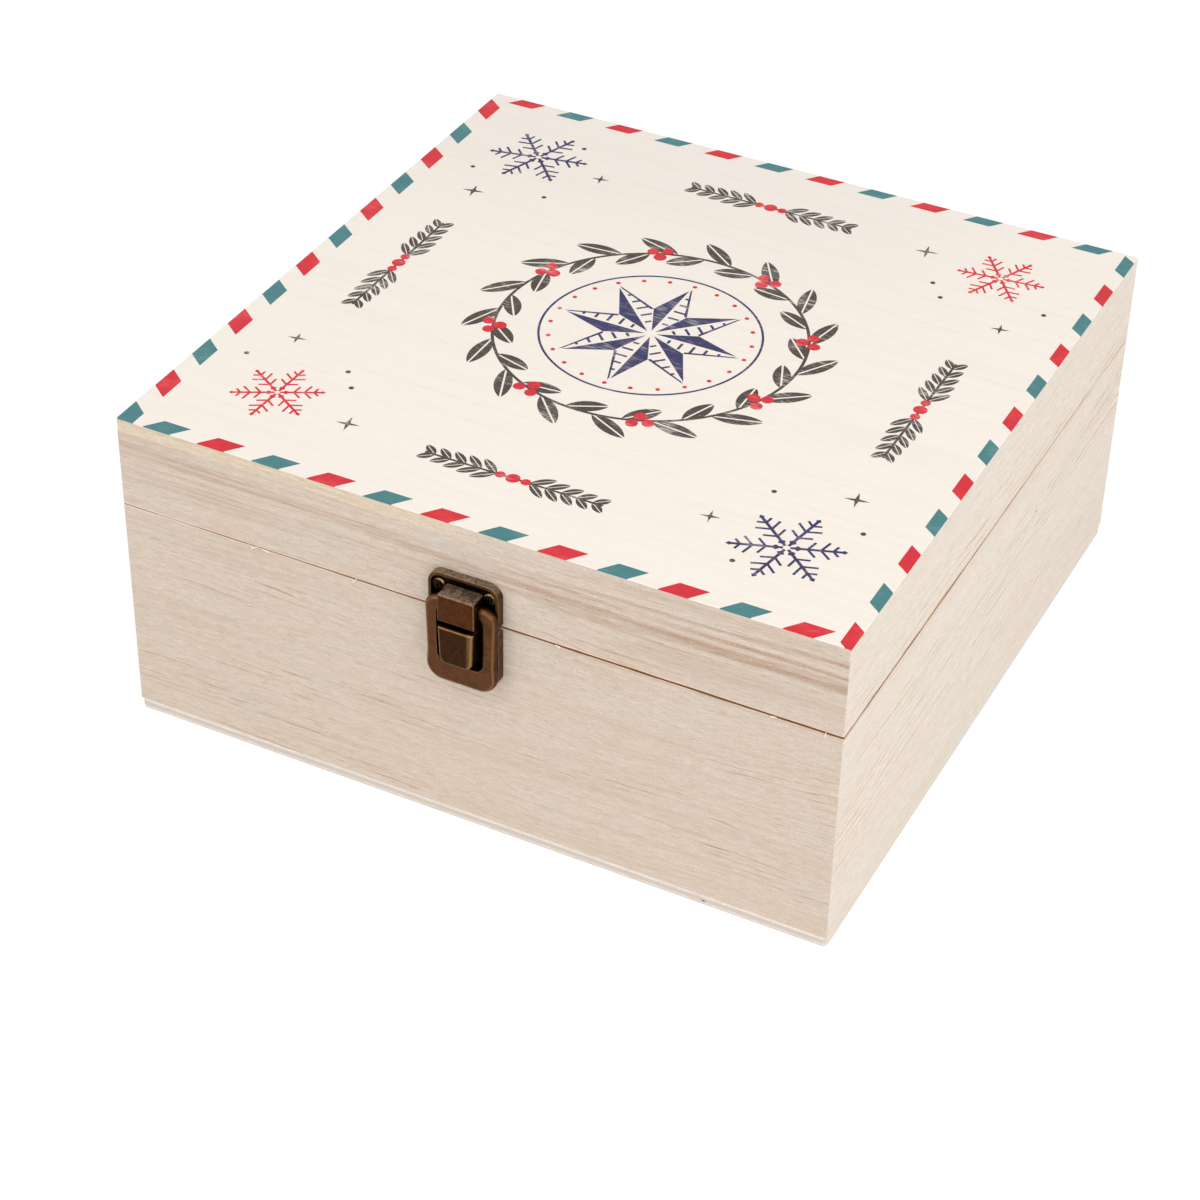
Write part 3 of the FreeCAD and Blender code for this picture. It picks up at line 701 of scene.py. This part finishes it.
def plywood_material():
    """Three-layer plywood: a greyer core, faint glue lines and small voids at its edge."""
    wood = settings("box_wood")
    material, shader, place = start_material("plywood")
    front = abs(coordinates(place.tree, "Normal").parts()[0]).rise(0.9, 0.6)
    ground = mixed(front, wood.side, wood.ply)
    grain = grain_layer(place.turned(*PLY_GRAIN), 0.06, 0.15, 0.15, ground, tint=0.3)
    height = place.parts()[2]
    level = place.noise((45.0, 45.0, 5.0), 2.0) * (0.4 * MM) + (height - 0.2 * MM)
    core = level.rise(1.05 * MM, 1.25 * MM) * level.rise(2.85 * MM, 2.60 * MM) * front
    stubble = place.noise((900.0, 900.0, 1500.0), 3.0, 0.7).rise(0.45, 0.75) * 0.12
    colour = mixed(core, grain["Color"], mixed(stubble, wood.core, wood.streak))
    glue = core * core.rest()
    colour = mixed(glue * 0.8, colour, wood.streak)
    # Painted shade: a darker line along the bottom edge, where it turns under onto the floor.
    foot = height.rise(0.60 * MM, 0.25 * MM) * 0.7 * front
    colour = mixed(foot, colour, wood.pore)
    gap = place.noise((150.0, 150.0, 520.0), 2.0).rise(0.78, 0.82) * core
    colour = mixed(gap.larger(place.spot(*PLY_VOID)) * 0.85, colour, VOID_BROWN)
    grain["Height"] = grain["Height"] - glue
    coat(shader, grain, wood.grain_depth, Base_Color=colour, Specular_IOR_Level=WOOD_GLOSS)
    return material


def fibre_material():
    """Torn fibres: the pale lip's colour with a faint grain."""
    lip = settings("box_wood").lip
    material, shader, place = start_material("torn_fibre")
    grain = grain_layer(place.turned(*FIBRE_GRAIN), 0.1, 0.1, 0.1, lip)
    fill(shader, Base_Color=mixed(0.5, grain["Color"], lip), Roughness=grain["Roughness"])
    return material


def ink_material(name, ink, wear):
    """One printed ink."""
    wash = settings("box_wood").wash
    material, shader, place = start_material(name)
    layer = use_group("Worn Ink", build_worn_ink, Vector=place, Ink=ink, Wash=wash, Wear=wear)
    coat(shader, layer, INK_RELIEF, Base_Color=layer["Color"], Specular_IOR_Level=INK_GLOSS)
    return material


def age(shader, place, body, rub, shoulder, hollow_depth, grit=0.0, flanks=0.0, floor=0.0):
    """Gives a shader the colour of an aged metal, with painted highlights and painted shade, and its gloss
    and fine relief.
    """
    metal = settings("box_metal")
    aged = use_group(
        "Aged Metal",
        build_aged_metal,
        Vector=place,
        Normal=coordinates(place.tree, "Normal"),
        Body=body,
        Rubbed=metal.rubbed,
        Recess=metal.patina_and_shade,
        Grit=metal.grit,
        Rub=rub,
        Shoulder=shoulder,
        Grit_Share=grit,
        Flank_Share=flanks,
        Floor=floor,
        Edge_Width=metal.edge_width,
        Hollow_Depth=hollow_depth,
    )
    coat(shader, aged, METAL_RELIEF, METAL_BUMP, Base_Color=aged["Color"], Metallic=aged["Metallic"])


def metal_material(name, body, rub, shoulder, hollow_depth, floor_level=None, painted_highlight_side=None, **shares):
    """One aged metal; a tray's floor, painted dark as shade, ends at a level, and a face is painted lighter
    towards one side as a highlight.
    """
    material, shader, place = start_material(name)
    # Painted shade: faces on a tray's floor, set back behind the front face by this level, are darkened.
    if floor_level is not None:
        front = FRONT_FACE - floor_level
        shares["floor"] = place.parts()[1].rise(front - 0.3 * MM, front)
    # Painted highlight: the face grows lighter towards this side.
    if painted_highlight_side is not None:
        lit = place.parts()[0].rise(painted_highlight_side - 1.8 * MM, painted_highlight_side)
        body = mixed(lit * 0.4, body, settings("box_metal").rubbed)
    age(shader, place, body, rub, shoulder, hollow_depth, **shares)
    return material


def rimmed_screw_material(node):
    """A pair of dark screws side by side, each with a bright rim round its head."""
    metal = settings("box_metal")
    material, shader, place = start_material(node)
    low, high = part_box(node)
    radius = (high.z - low.z) / 2
    middle = (low + high) / 2
    spacing = (high.x - low.x) / 2 - radius
    x, z = place.parts()[::2]
    aside = abs(x - middle.x) - spacing
    across = joined(place.tree, "ShaderNodeCombineXYZ", "Vector", aside, 0.0, z - middle.z)
    rim = across.length().rise(radius * 0.76, radius * 0.88)
    body = mixed(rim, metal.screw, metal.screw_rim)
    age(shader, place, body, rim * 0.3 + 0.2, 0.6, 0.4 * MM)
    return material


def dress(nodes, material):
    """Puts a material on every slot of some solids."""
    for name in nodes:
        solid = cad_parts[name]
        if not solid.material_slots:
            solid.data.materials.append(material)
        for slot in solid.material_slots:
            slot.material = material


def make_object(name, shape, material):
    """Makes an object of a bmesh and frees the bmesh."""
    mesh = bpy.data.meshes.new(name)
    shape.to_mesh(mesh)
    shape.free()
    mesh.materials.append(material)
    item = bpy.data.objects.new(name, mesh)
    bpy.context.scene.collection.objects.link(item)
    return item


def add_piece(name, shape, material, body):
    """Makes a piece of a bmesh with a material, which rides on a body."""
    piece = make_object(name, shape, material)
    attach(piece, body)
    return piece


def put(sheet, motif, place=(0.0, 0.0), turn=0.0):
    """Adds a flat motif to a printed sheet at a place, turned by degrees, and frees the motif."""
    level = INK_STEP * (len(sheet.faces) % INK_LEVELS)
    matrix = Matrix.Translation((*place, level)) @ Matrix.Rotation(math.radians(turn), 4, "Z")
    bmesh.ops.transform(motif, matrix=matrix, verts=motif.verts)
    holder = bpy.data.meshes.new("motif")
    motif.to_mesh(holder)
    motif.free()
    sheet.from_mesh(holder)
    bpy.data.meshes.remove(holder)


def on_circle(radius, angle):
    """A point of a circle, at an angle in radians from X."""
    return radius * math.cos(angle), radius * math.sin(angle)


def everything(shape):
    """All corners, edges and faces of a bmesh."""
    return shape.verts[:] + shape.edges[:] + shape.faces[:]


def divide(shape, place, direction, clear):
    """Divides a bmesh at a plane and, to clear, drops what lies past it."""
    bmesh.ops.bisect_plane(
        shape, geom=everything(shape), plane_co=place, plane_no=direction, clear_outer=clear
    )


def spin(shape, angle, steps, **options):
    """Spins a bmesh about Z, either into a surface or as copies."""
    bmesh.ops.spin(
        shape,
        geom=everything(shape),
        cent=(0.0, 0.0, 0.0),
        axis=(0.0, 0.0, 1.0),
        angle=angle,
        steps=steps,
        **options,
    )


def polygon(*corners):
    """A flat shape with these corners."""
    shape = bmesh.new()
    shape.faces.new([shape.verts.new((x, y, 0.0)) for x, y in corners])
    return shape


def bar(length, width, start=0.0):
    """A straight printed line along X."""
    end = start + length
    half = width / 2
    return polygon((start, -half), (end, -half), (end, half), (start, half))


def diamond(length, width):
    """A printed diamond, longest along X."""
    return polygon((-length / 2, 0.0), (0.0, -width / 2), (length / 2, 0.0), (0.0, width / 2))


def dot(radius):
    """A printed dot."""
    shape = bmesh.new()
    bmesh.ops.create_circle(shape, cap_ends=True, segments=DOT_CORNERS, radius=radius)
    return shape


def ring(radius, width):
    """A printed ring, spun from its width."""
    shape = bmesh.new()
    ends = [shape.verts.new((radius + side * width / 2, 0.0, 0.0)) for side in (-1.0, 1.0)]
    shape.edges.new(ends)
    spin(shape, math.tau, RING_CORNERS, use_merge=True)
    return shape


def leaf(length, width):
    """A pointed leaf along X with a bare midrib."""
    shape = bmesh.new()
    bmesh.ops.create_circle(shape, cap_ends=True, segments=LEAF_CORNERS, radius=1.0)
    for corner in shape.verts:
        taper = max(0.0, 1.0 - corner.co.x ** 2)
        corner.co.y = math.copysign(taper ** 0.8, corner.co.y) if abs(corner.co.y) > 1e-5 else 0.0
    bmesh.ops.scale(shape, vec=(length / 2, width / 2, 1.0), verts=shape.verts)
    bmesh.ops.translate(shape, vec=(length / 2, 0.0, 0.0), verts=shape.verts)
    rib = width * 0.055
    halves = bmesh.new()
    for side in (1.0, -1.0):
        half = shape.copy()
        divide(half, (0.0, side * rib, 0.0), (0.0, -side, 0.0), True)
        put(halves, half)
    shape.free()
    return halves


def snowflake(reach):
    """A six-armed snowflake."""
    arm = bmesh.new()
    put(arm, bar(reach * 0.86, reach * 0.055, reach * 0.06))
    for start, length in ((0.34, 0.24), (0.56, 0.27), (0.76, 0.16)):
        for lean in (58.0, -58.0):
            put(arm, bar(reach * length, reach * 0.045), (reach * start, 0.0), lean)
    put(arm, diamond(reach * 0.12, reach * 0.10), (reach * 0.94, 0.0))
    put(arm, diamond(reach * 0.16, reach * 0.14), (reach * 0.18, 0.0))
    spin(arm, math.tau * 5 / 6, 5, use_duplicate=True)
    return arm


def split_star(reach):
    """An eight-pointed star whose points are filled on one side and ruled on the other."""
    point = bmesh.new()
    shoulder_x, shoulder_y = on_circle(reach * 0.50, math.tau / 16)
    gap = reach * 0.018
    put(point, polygon((reach * 0.06, gap), (reach - gap * 2, gap), (shoulder_x, shoulder_y)))
    for step in range(5):
        foot = reach * (0.22 + step * 0.14)
        width = shoulder_y * min(foot / shoulder_x, (reach - foot) / (reach - shoulder_x)) * 0.94
        far = foot + gap * 1.6
        put(point, polygon((foot, -gap), (foot, -width), (far, -width), (far, -gap)))
    outline = reach * 0.032 - shoulder_y
    put(point, polygon((reach, 0), (shoulder_x, -shoulder_y), (shoulder_x, outline), (reach * 0.95, 0)))
    spin(point, math.tau * 7 / 8, 7, use_duplicate=True)
    return point


def small_star(reach):
    """A four-pointed spark."""
    waist = reach * 0.22
    corners = []
    for quarter in range(4):
        angle = math.tau * quarter / 4
        corners.append(on_circle(reach, angle))
        corners.append(on_circle(waist, angle + math.tau / 8))
    return polygon(*corners)


def border_stripe(start, length, band):
    """One slanted stripe of the border along the front edge, finely divided to follow the rounded edge."""
    shape = bmesh.new()
    bmesh.ops.create_grid(shape, x_segments=8, y_segments=14, size=0.5)
    for corner in shape.verts:
        along = corner.co.x + 0.5
        inward = STRIPE_INSET + (band - STRIPE_INSET) * (corner.co.y + 0.5) ** 1.8
        unrolled = inward
        if inward < LID_ARRIS:
            unrolled = LID_ARRIS - LID_ARRIS * math.asin((LID_ARRIS - inward) / LID_ARRIS)
        corner.co.x = start + length * along + unrolled * STRIPE_SLANT - LID_HALF
        corner.co.y = inward - LID_HALF
    for side in (1.0, -1.0):
        for inset in STRIPE_CUTS:
            place = (side * (LID_HALF - inset * MM), 0.0, 0.0)
            divide(shape, place, (side, 0.0, 0.0), inset == STRIPE_CUTS[-1])
    return shape


def edge_distance(x, y):
    """How far a point is inside the lid's rounded outline, near it, and which way is outward there."""
    core = LID_HALF - LID_CORNER
    over = Vector((x - min(max(x, -core), core), y - min(max(y, -core), core)))
    return LID_CORNER - over.length, over.normalized()


def settle(sheet, lift):
    """Lays a printed sheet on the lid's top, down over its rounded edge, and turns its faces up."""
    for corner in sheet.verts:
        raised = lift + corner.co.z
        inside, outward = edge_distance(corner.co.x, corner.co.y)
        if inside >= LID_ARRIS:
            corner.co.z = LID_TOP + raised
            continue
        overhang = min(max((LID_ARRIS - inside) / LID_ARRIS, 0.0), 0.995)
        slope = math.asin(overhang)
        shift = (LID_ARRIS + raised) * math.sin(slope) - (LID_ARRIS - inside)
        corner.co.x += outward.x * shift
        corner.co.y += outward.y * shift
        corner.co.z = LID_TOP - LID_ARRIS + (LID_ARRIS + raised) * math.cos(slope)
    sheet.normal_update()
    downward = [face for face in sheet.faces if face.normal.z < 0.0]
    bmesh.ops.reverse_faces(sheet, faces=downward)


def add_print(name, sheet, material, lift):
    """Makes one ink of the lid's print, a thin solid on the lid."""
    inks = settings("box_print")
    settle(sheet, lift)
    piece = add_piece(name, sheet, material, "lid")
    body = piece.modifiers.new("Ink body", "SOLIDIFY")
    body.thickness = inks.ink_body + lift - inks.ink_rise
    body.offset = -1.0


class BOX_OT_boards(bpy.types.Operator):
    """Give the boards of base and lid their grain and browned saw cut"""

    bl_idname = "keepsake_box.boards"
    bl_label = "Boards"

    def execute(self, context):
        dress(FRONT_AND_BACK_BOARDS, front_board_material())
        dress(SIDE_BOARDS, side_board_material())
        return {"FINISHED"}


class BOX_OT_bottom(bpy.types.Operator):
    """Give the bottom its plywood layers"""

    bl_idname = "keepsake_box.bottom"
    bl_label = "Plywood Bottom"

    def execute(self, context):
        dress(("bottom_panel",), plywood_material())
        return {"FINISHED"}


class BOX_OT_top(bpy.types.Operator):
    """Give the top board its white wash"""

    bl_idname = "keepsake_box.top"
    bl_label = "Washed Top"

    def execute(self, context):
        dress(("lid_top_panel",), washed_top_material())
        return {"FINISHED"}


class BOX_OT_border(bpy.types.Operator):
    """Print the slanted red and teal stripes round the lid"""

    bl_idname = "keepsake_box.border"
    bl_label = "Striped Border"

    def execute(self, context):
        inks = settings("box_print")
        sheets = {"red": bmesh.new(), "teal": bmesh.new()}
        for turn, first, pitch, length, band, leading in BORDER_SIDES:
            other = "red" if leading == "teal" else "teal"
            for number in range(STRIPES_PER_SIDE):
                stripe = border_stripe((first + number * pitch) * MM, length * MM, band * MM)
                put(sheets[leading if number % 2 == 0 else other], stripe, turn=turn)
        red_ink = ink_material("red_ink", inks.red, BORDER_WEAR)
        teal_ink = ink_material("teal_ink", inks.teal, BORDER_WEAR)
        add_print("border_red", sheets["red"], red_ink, inks.ink_rise)
        add_print("border_teal", sheets["teal"], teal_ink, inks.ink_rise)
        return {"FINISHED"}


class BOX_OT_ornament(bpy.types.Operator):
    """Print a wreath with a star, corner snowflakes and sprigs on the lid"""

    bl_idname = "keepsake_box.ornament"
    bl_label = "Lid Ornament"

    def execute(self, context):
        inks = settings("box_print")
        charcoal = bmesh.new()
        navy = bmesh.new()
        red = bmesh.new()
        self.print_wreath(charcoal, red, inks.wreath_radius)
        self.print_star(navy, red, inks.star_radius)
        self.print_corners(navy, red, charcoal, inks.snowflake_radius)
        self.print_sprigs(charcoal, red)
        charcoal_ink = ink_material("charcoal_ink", inks.charcoal, wear=0.55)
        navy_ink = ink_material("navy_ink", inks.navy, wear=0.35)
        red_ink = ink_material("ornament_red_ink", inks.red, wear=0.3)
        add_print("ornament_charcoal", charcoal, charcoal_ink, inks.ink_rise)
        add_print("ornament_navy", navy, navy_ink, inks.ink_rise * NAVY_RISES)
        add_print("ornament_red", red, red_ink, inks.ink_rise * RED_RISES)
        return {"FINISHED"}

    def print_wreath(self, charcoal, red, radius):
        """The wreath's stem, leaves and bunches of berries."""
        put(charcoal, ring(radius, 1.1 * MM))
        leaves = 34
        for number in range(leaves):
            angle = math.tau * number / leaves
            lean, length = (58.0, 17.5 * MM) if number % 2 == 0 else (122.0, 14.5 * MM)
            put(charcoal, leaf(length, 6.2 * MM), on_circle(radius, angle), math.degrees(angle) + lean)
        bunches = 8
        for number in range(bunches):
            angle = math.tau * (number + 0.5) / bunches
            for along, out, size in ((-2.6, 1.8, 2.1), (2.6, 1.4, 2.1), (0.0, -2.4, 2.3)):
                put(red, dot(size * MM), on_circle(radius + out * MM, angle + along * MM / radius))

    def print_star(self, navy, red, reach):
        """The star inside the wreath, with a ring and a circle of dots round it."""
        put(navy, split_star(reach), turn=45.0)
        put(navy, ring(reach * 1.16, 0.8 * MM))
        dots = 24
        for number in range(dots):
            put(red, dot(0.8 * MM), on_circle(reach * 1.06, math.tau * number / dots))

    def print_corners(self, navy, red, charcoal, reach):
        """A snowflake in each corner, and sparks and dots between."""
        far = 92.0 * MM
        put(navy, snowflake(reach), (-far, far), 12.0)
        put(navy, snowflake(reach), (far, -far), 20.0)
        put(red, snowflake(reach * 0.84), (far, far), 6.0)
        put(red, snowflake(reach * 0.84), (-far, -far), 28.0)
        for x, y, size in ((62, 97, 4.2), (104, 60, 3.4), (-64, 88, 3.4), (-101, 58, 4.2)):
            for side in (MM, -MM):
                put(charcoal, small_star(size * MM), (x * side, y * side), 10.0)
        for x, y in ((72, 78), (78, 70), (114, 76), (-80, 106), (-110, 74), (-76, 66)):
            for side in (MM, -MM):
                put(charcoal, dot(0.9 * MM), (x * side, y * side))

    def print_sprigs(self, charcoal, red):
        """A sprig of paired leaves with three berries along each side of the wreath."""
        away = 99.0 * MM
        for turn in (0.0, 90.0, 180.0, 270.0):
            sprig = bmesh.new()
            put(sprig, bar(64.0 * MM, 0.9 * MM, -32.0 * MM))
            for side, heading in ((1.0, 0.0), (-1.0, 180.0)):
                for number in range(5):
                    place = (side * (6.0 + number * 5.6) * MM, 0.0)
                    for lean in (38.0, -38.0):
                        put(sprig, leaf((9.0 - number * 0.7) * MM, 3.0 * MM), place, heading + lean)
            angle = math.radians(turn)
            x, y = on_circle(away, angle - math.tau / 4)
            put(charcoal, sprig, (x, y), turn)
            for shift, size in ((0.0, 2.4), (-4.6, 1.7), (4.6, 1.7)):
                along_x, along_y = on_circle(shift * MM, angle)
                put(red, dot(size * MM), (x + along_x, y + along_y))


class BOX_OT_fibres(bpy.types.Operator):
    """Leave a few torn fibres along the saw cut at the front"""

    bl_idname = "keepsake_box.fibres"
    bl_label = "Torn Fibres"

    def execute(self, context):
        fibres = bmesh.new()
        for along, length, lean in SEAM_FIBRES:
            self.add_fibre(fibres, along * MM, length * MM, math.radians(lean))
        add_piece("seam_fibres", fibres, fibre_material(), "base")
        return {"FINISHED"}

    def add_fibre(self, fibres, along, length, lean):
        """One pointed fibre, rooted in the front face under the seam and curling off it."""
        fibre = bmesh.new()
        bmesh.ops.create_cone(
            fibre, cap_ends=True, segments=6, radius1=FIBRE_ROOT, radius2=FIBRE_TIP, depth=length
        )
        divide(fibre, (0.0, 0.0, 0.0), (0.0, 0.0, 1.0), False)
        bmesh.ops.translate(fibre, vec=(0.0, 0.0, length / 2), verts=fibre.verts)
        for corner in fibre.verts:
            corner.co.y -= FIBRE_CURL * corner.co.z / length
        turn = Matrix.Rotation(math.tau / 4 - lean, 3, "Y")
        bmesh.ops.rotate(fibre, cent=(0.0, 0.0, 0.0), matrix=turn, verts=fibre.verts)
        root = SEAM_HEIGHT - 0.65 * length * math.sin(lean)
        bmesh.ops.translate(fibre, vec=(along, FRONT_FACE, root), verts=fibre.verts)
        put(fibres, fibre)


class BOX_OT_clasp(bpy.types.Operator):
    """Age the clasp's plates, keeper, bracket and bail"""

    bl_idname = "keepsake_box.clasp"
    bl_label = "Clasp"

    def execute(self, context):
        metal = settings("box_metal")
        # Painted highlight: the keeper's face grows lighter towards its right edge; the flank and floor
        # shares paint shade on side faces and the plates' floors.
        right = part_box("clasp_keeper")[1].x - 1.0 * MM
        bail = metal_material("bail_copper", metal.copper, 0.35, 0.8, 1.5 * MM, flanks=0.3)
        bracket = metal_material("bracket_copper", metal.bracket, 0.4, 0.66, 1.2 * MM, grit=0.8, flanks=0.4)
        keeper = metal_material("keeper_bronze", metal.keeper, 0.65, 0.8, 1.2 * MM, None, right, flanks=0.6)
        plates = metal_material("plate_bronze", metal.bronze, 0.45, 0.6, 2.0 * MM, 2.2 * MM, grit=0.9)
        dress(("clasp_bail",), bail)
        dress(("clasp_bracket",), bracket)
        dress(("clasp_keeper",), keeper)
        dress(CLASP_PLATES, plates)
        return {"FINISHED"}


class BOX_OT_hinges(bpy.types.Operator):
    """Age the hinge leaves"""

    bl_idname = "keepsake_box.hinges"
    bl_label = "Hinges"

    def execute(self, context):
        metal = settings("box_metal")
        bronze = metal_material("hinge_bronze", metal.bronze, 0.5, 0.6, 1.0 * MM, grit=0.4)
        dress(LEFT_HINGE_LEAVES + RIGHT_HINGE_LEAVES, bronze)
        return {"FINISHED"}


class BOX_OT_screws(bpy.types.Operator):
    """Age the screws and hinge pins"""

    bl_idname = "keepsake_box.screws"
    bl_label = "Screws and Pins"

    def execute(self, context):
        metal = settings("box_metal")
        for node in CLASP_SCREWS:
            dress((node,), rimmed_screw_material(node))
        dress(HINGE_SCREWS_AND_PINS, metal_material("dark_screw", metal.screw, 0.7, 0.6, 0.6 * MM))
        return {"FINISHED"}


class BOX_OT_stage(bpy.types.Operator):
    """Set the floor, the soft lights and the camera"""

    bl_idname = "keepsake_box.stage"
    bl_label = "Stage"

    def execute(self, context):
        studio = settings("box_studio")
        self.add_floor(studio)
        self.add_sky(context, studio)
        self.add_light(context, "key", *KEY_LIGHT, studio.key_power)
        self.add_light(context, "fill", *FILL_LIGHT, studio.fill_power)
        self.add_light(context, "overhead", *TOP_LIGHT, studio.top_power)
        self.add_camera(context)
        context.scene.view_settings.view_transform = "Standard"
        return {"FINISHED"}

    def seen_directly(self, tree):
        """1 for what the camera sees directly, in a mirror or through glass."""
        path = outputs(add_node(tree, "ShaderNodeLightPath"))
        return path["Is Camera Ray"].larger(path["Is Glossy Ray"]).larger(path["Is Transmission Ray"])

    def add_floor(self, studio):
        """A wide pale floor that keeps the box's shadow and turns plain white far from it."""
        material = bpy.data.materials.new("pale_floor")
        tree = empty_tree(material)
        matte = add_node(tree, "ShaderNodeBsdfDiffuse")
        fill(matte, Color=studio.floor)
        white = add_node(tree, "ShaderNodeEmission")
        fill(white, Strength=FLOOR_GLOW)
        away = coordinates(tree, "Object").length()
        far = away.rise(WHITE_FROM, WHITE_AT) * (1.0 - studio.floor_white) + studio.floor_white
        blend = add_node(tree, "ShaderNodeMixShader")
        parts = (self.seen_directly(tree) * far, Value(matte.outputs[0]), Value(white.outputs[0]))
        for socket, value in zip(blend.inputs, parts):
            feed(socket, value)
        fill(add_node(tree, "ShaderNodeOutputMaterial"), Surface=Value(blend.outputs[0]))
        shape = bmesh.new()
        bmesh.ops.create_grid(shape, x_segments=2, y_segments=2, size=FLOOR_HALF)
        floor = make_object("floor", shape, material)

    def add_sky(self, context, studio):
        """Even light all round, seen as plain white."""
        world = bpy.data.worlds.new("studio")
        context.scene.world = world
        tree = empty_tree(world)
        light = add_node(tree, "ShaderNodeBackground")
        level = self.seen_directly(tree) * (1.0 - studio.sky) + studio.sky
        fill(light, Color=WHITE, Strength=level)
        fill(add_node(tree, "ShaderNodeOutputWorld"), Surface=Value(light.outputs[0]))

    def add_light(self, context, name, place, size, power):
        """A large soft light aimed at the box."""
        lamp = bpy.data.lights.new(name, "AREA")
        lamp.shape = "DISK"
        lamp.size = size
        lamp.energy = power
        light = bpy.data.objects.new(name, lamp)
        context.scene.collection.objects.link(light)
        light.location = place
        aim = Vector(LIGHT_AIM) - Vector(place)
        light.rotation_euler = aim.to_track_quat("-Z", "Y").to_euler()

    def add_camera(self, context):
        """The camera at the photograph's place."""
        data = bpy.data.cameras.new("camera")
        data.lens = CAMERA_LENS
        data.sensor_width = CAMERA_SENSOR
        data.clip_start, data.clip_end = CAMERA_RANGE
        camera = bpy.data.objects.new("camera", data)
        context.scene.collection.objects.link(camera)
        turn = Matrix((CAMERA_RIGHT, CAMERA_UP, CAMERA_BACK)).transposed().to_4x4()
        camera.matrix_world = Matrix.Translation(CAMERA_PLACE) @ turn
        context.scene.camera = camera


class BOX_PT_panel(bpy.types.Panel):
    """The box's settings and steps"""

    bl_idname = "BOX_PT_panel"
    bl_label = "Keepsake Box"
    bl_space_type = "VIEW_3D"
    bl_region_type = "UI"
    bl_category = "Keepsake Box"

    def draw(self, context):
        layout = self.layout
        for step in STEPS:
            layout.operator(step.bl_idname)
        for name in SETTING_GROUPS:
            column = layout.column(align=True)
            group = getattr(context.scene, name)
            for item in group.bl_rna.properties:
                if item.identifier not in ("rna_type", "name"):
                    column.prop(group, item.identifier)


SETTING_GROUPS = {
    "box_wood": WoodSettings,
    "box_print": PrintSettings,
    "box_metal": MetalSettings,
    "box_studio": StudioSettings,
}
STEPS = (
    BOX_OT_boards,
    BOX_OT_bottom,
    BOX_OT_top,
    BOX_OT_border,
    BOX_OT_ornament,
    BOX_OT_fibres,
    BOX_OT_clasp,
    BOX_OT_hinges,
    BOX_OT_screws,
    BOX_OT_stage,
)
CLASSES = tuple(SETTING_GROUPS.values()) + STEPS + (BOX_PT_panel,)


def register():
    """Adds the settings, steps and panel to Blender."""
    for item in CLASSES:
        bpy.utils.register_class(item)
    for name, group in SETTING_GROUPS.items():
        setattr(bpy.types.Scene, name, bpy.props.PointerProperty(type=group))


def unregister():
    """Takes the settings, steps and panel out of Blender."""
    for name in SETTING_GROUPS:
        delattr(bpy.types.Scene, name)
    for item in reversed(CLASSES):
        bpy.utils.unregister_class(item)


def main():
    """Runs every step in order."""
    register()
    bpy.ops.keepsake_box.boards()
    bpy.ops.keepsake_box.bottom()
    bpy.ops.keepsake_box.top()
    bpy.ops.keepsake_box.border()
    bpy.ops.keepsake_box.ornament()
    bpy.ops.keepsake_box.fibres()
    bpy.ops.keepsake_box.clasp()
    bpy.ops.keepsake_box.hinges()
    bpy.ops.keepsake_box.screws()
    bpy.ops.keepsake_box.stage()
    bpy.context.view_layer.update()


if __name__ == "__main__":
    main()
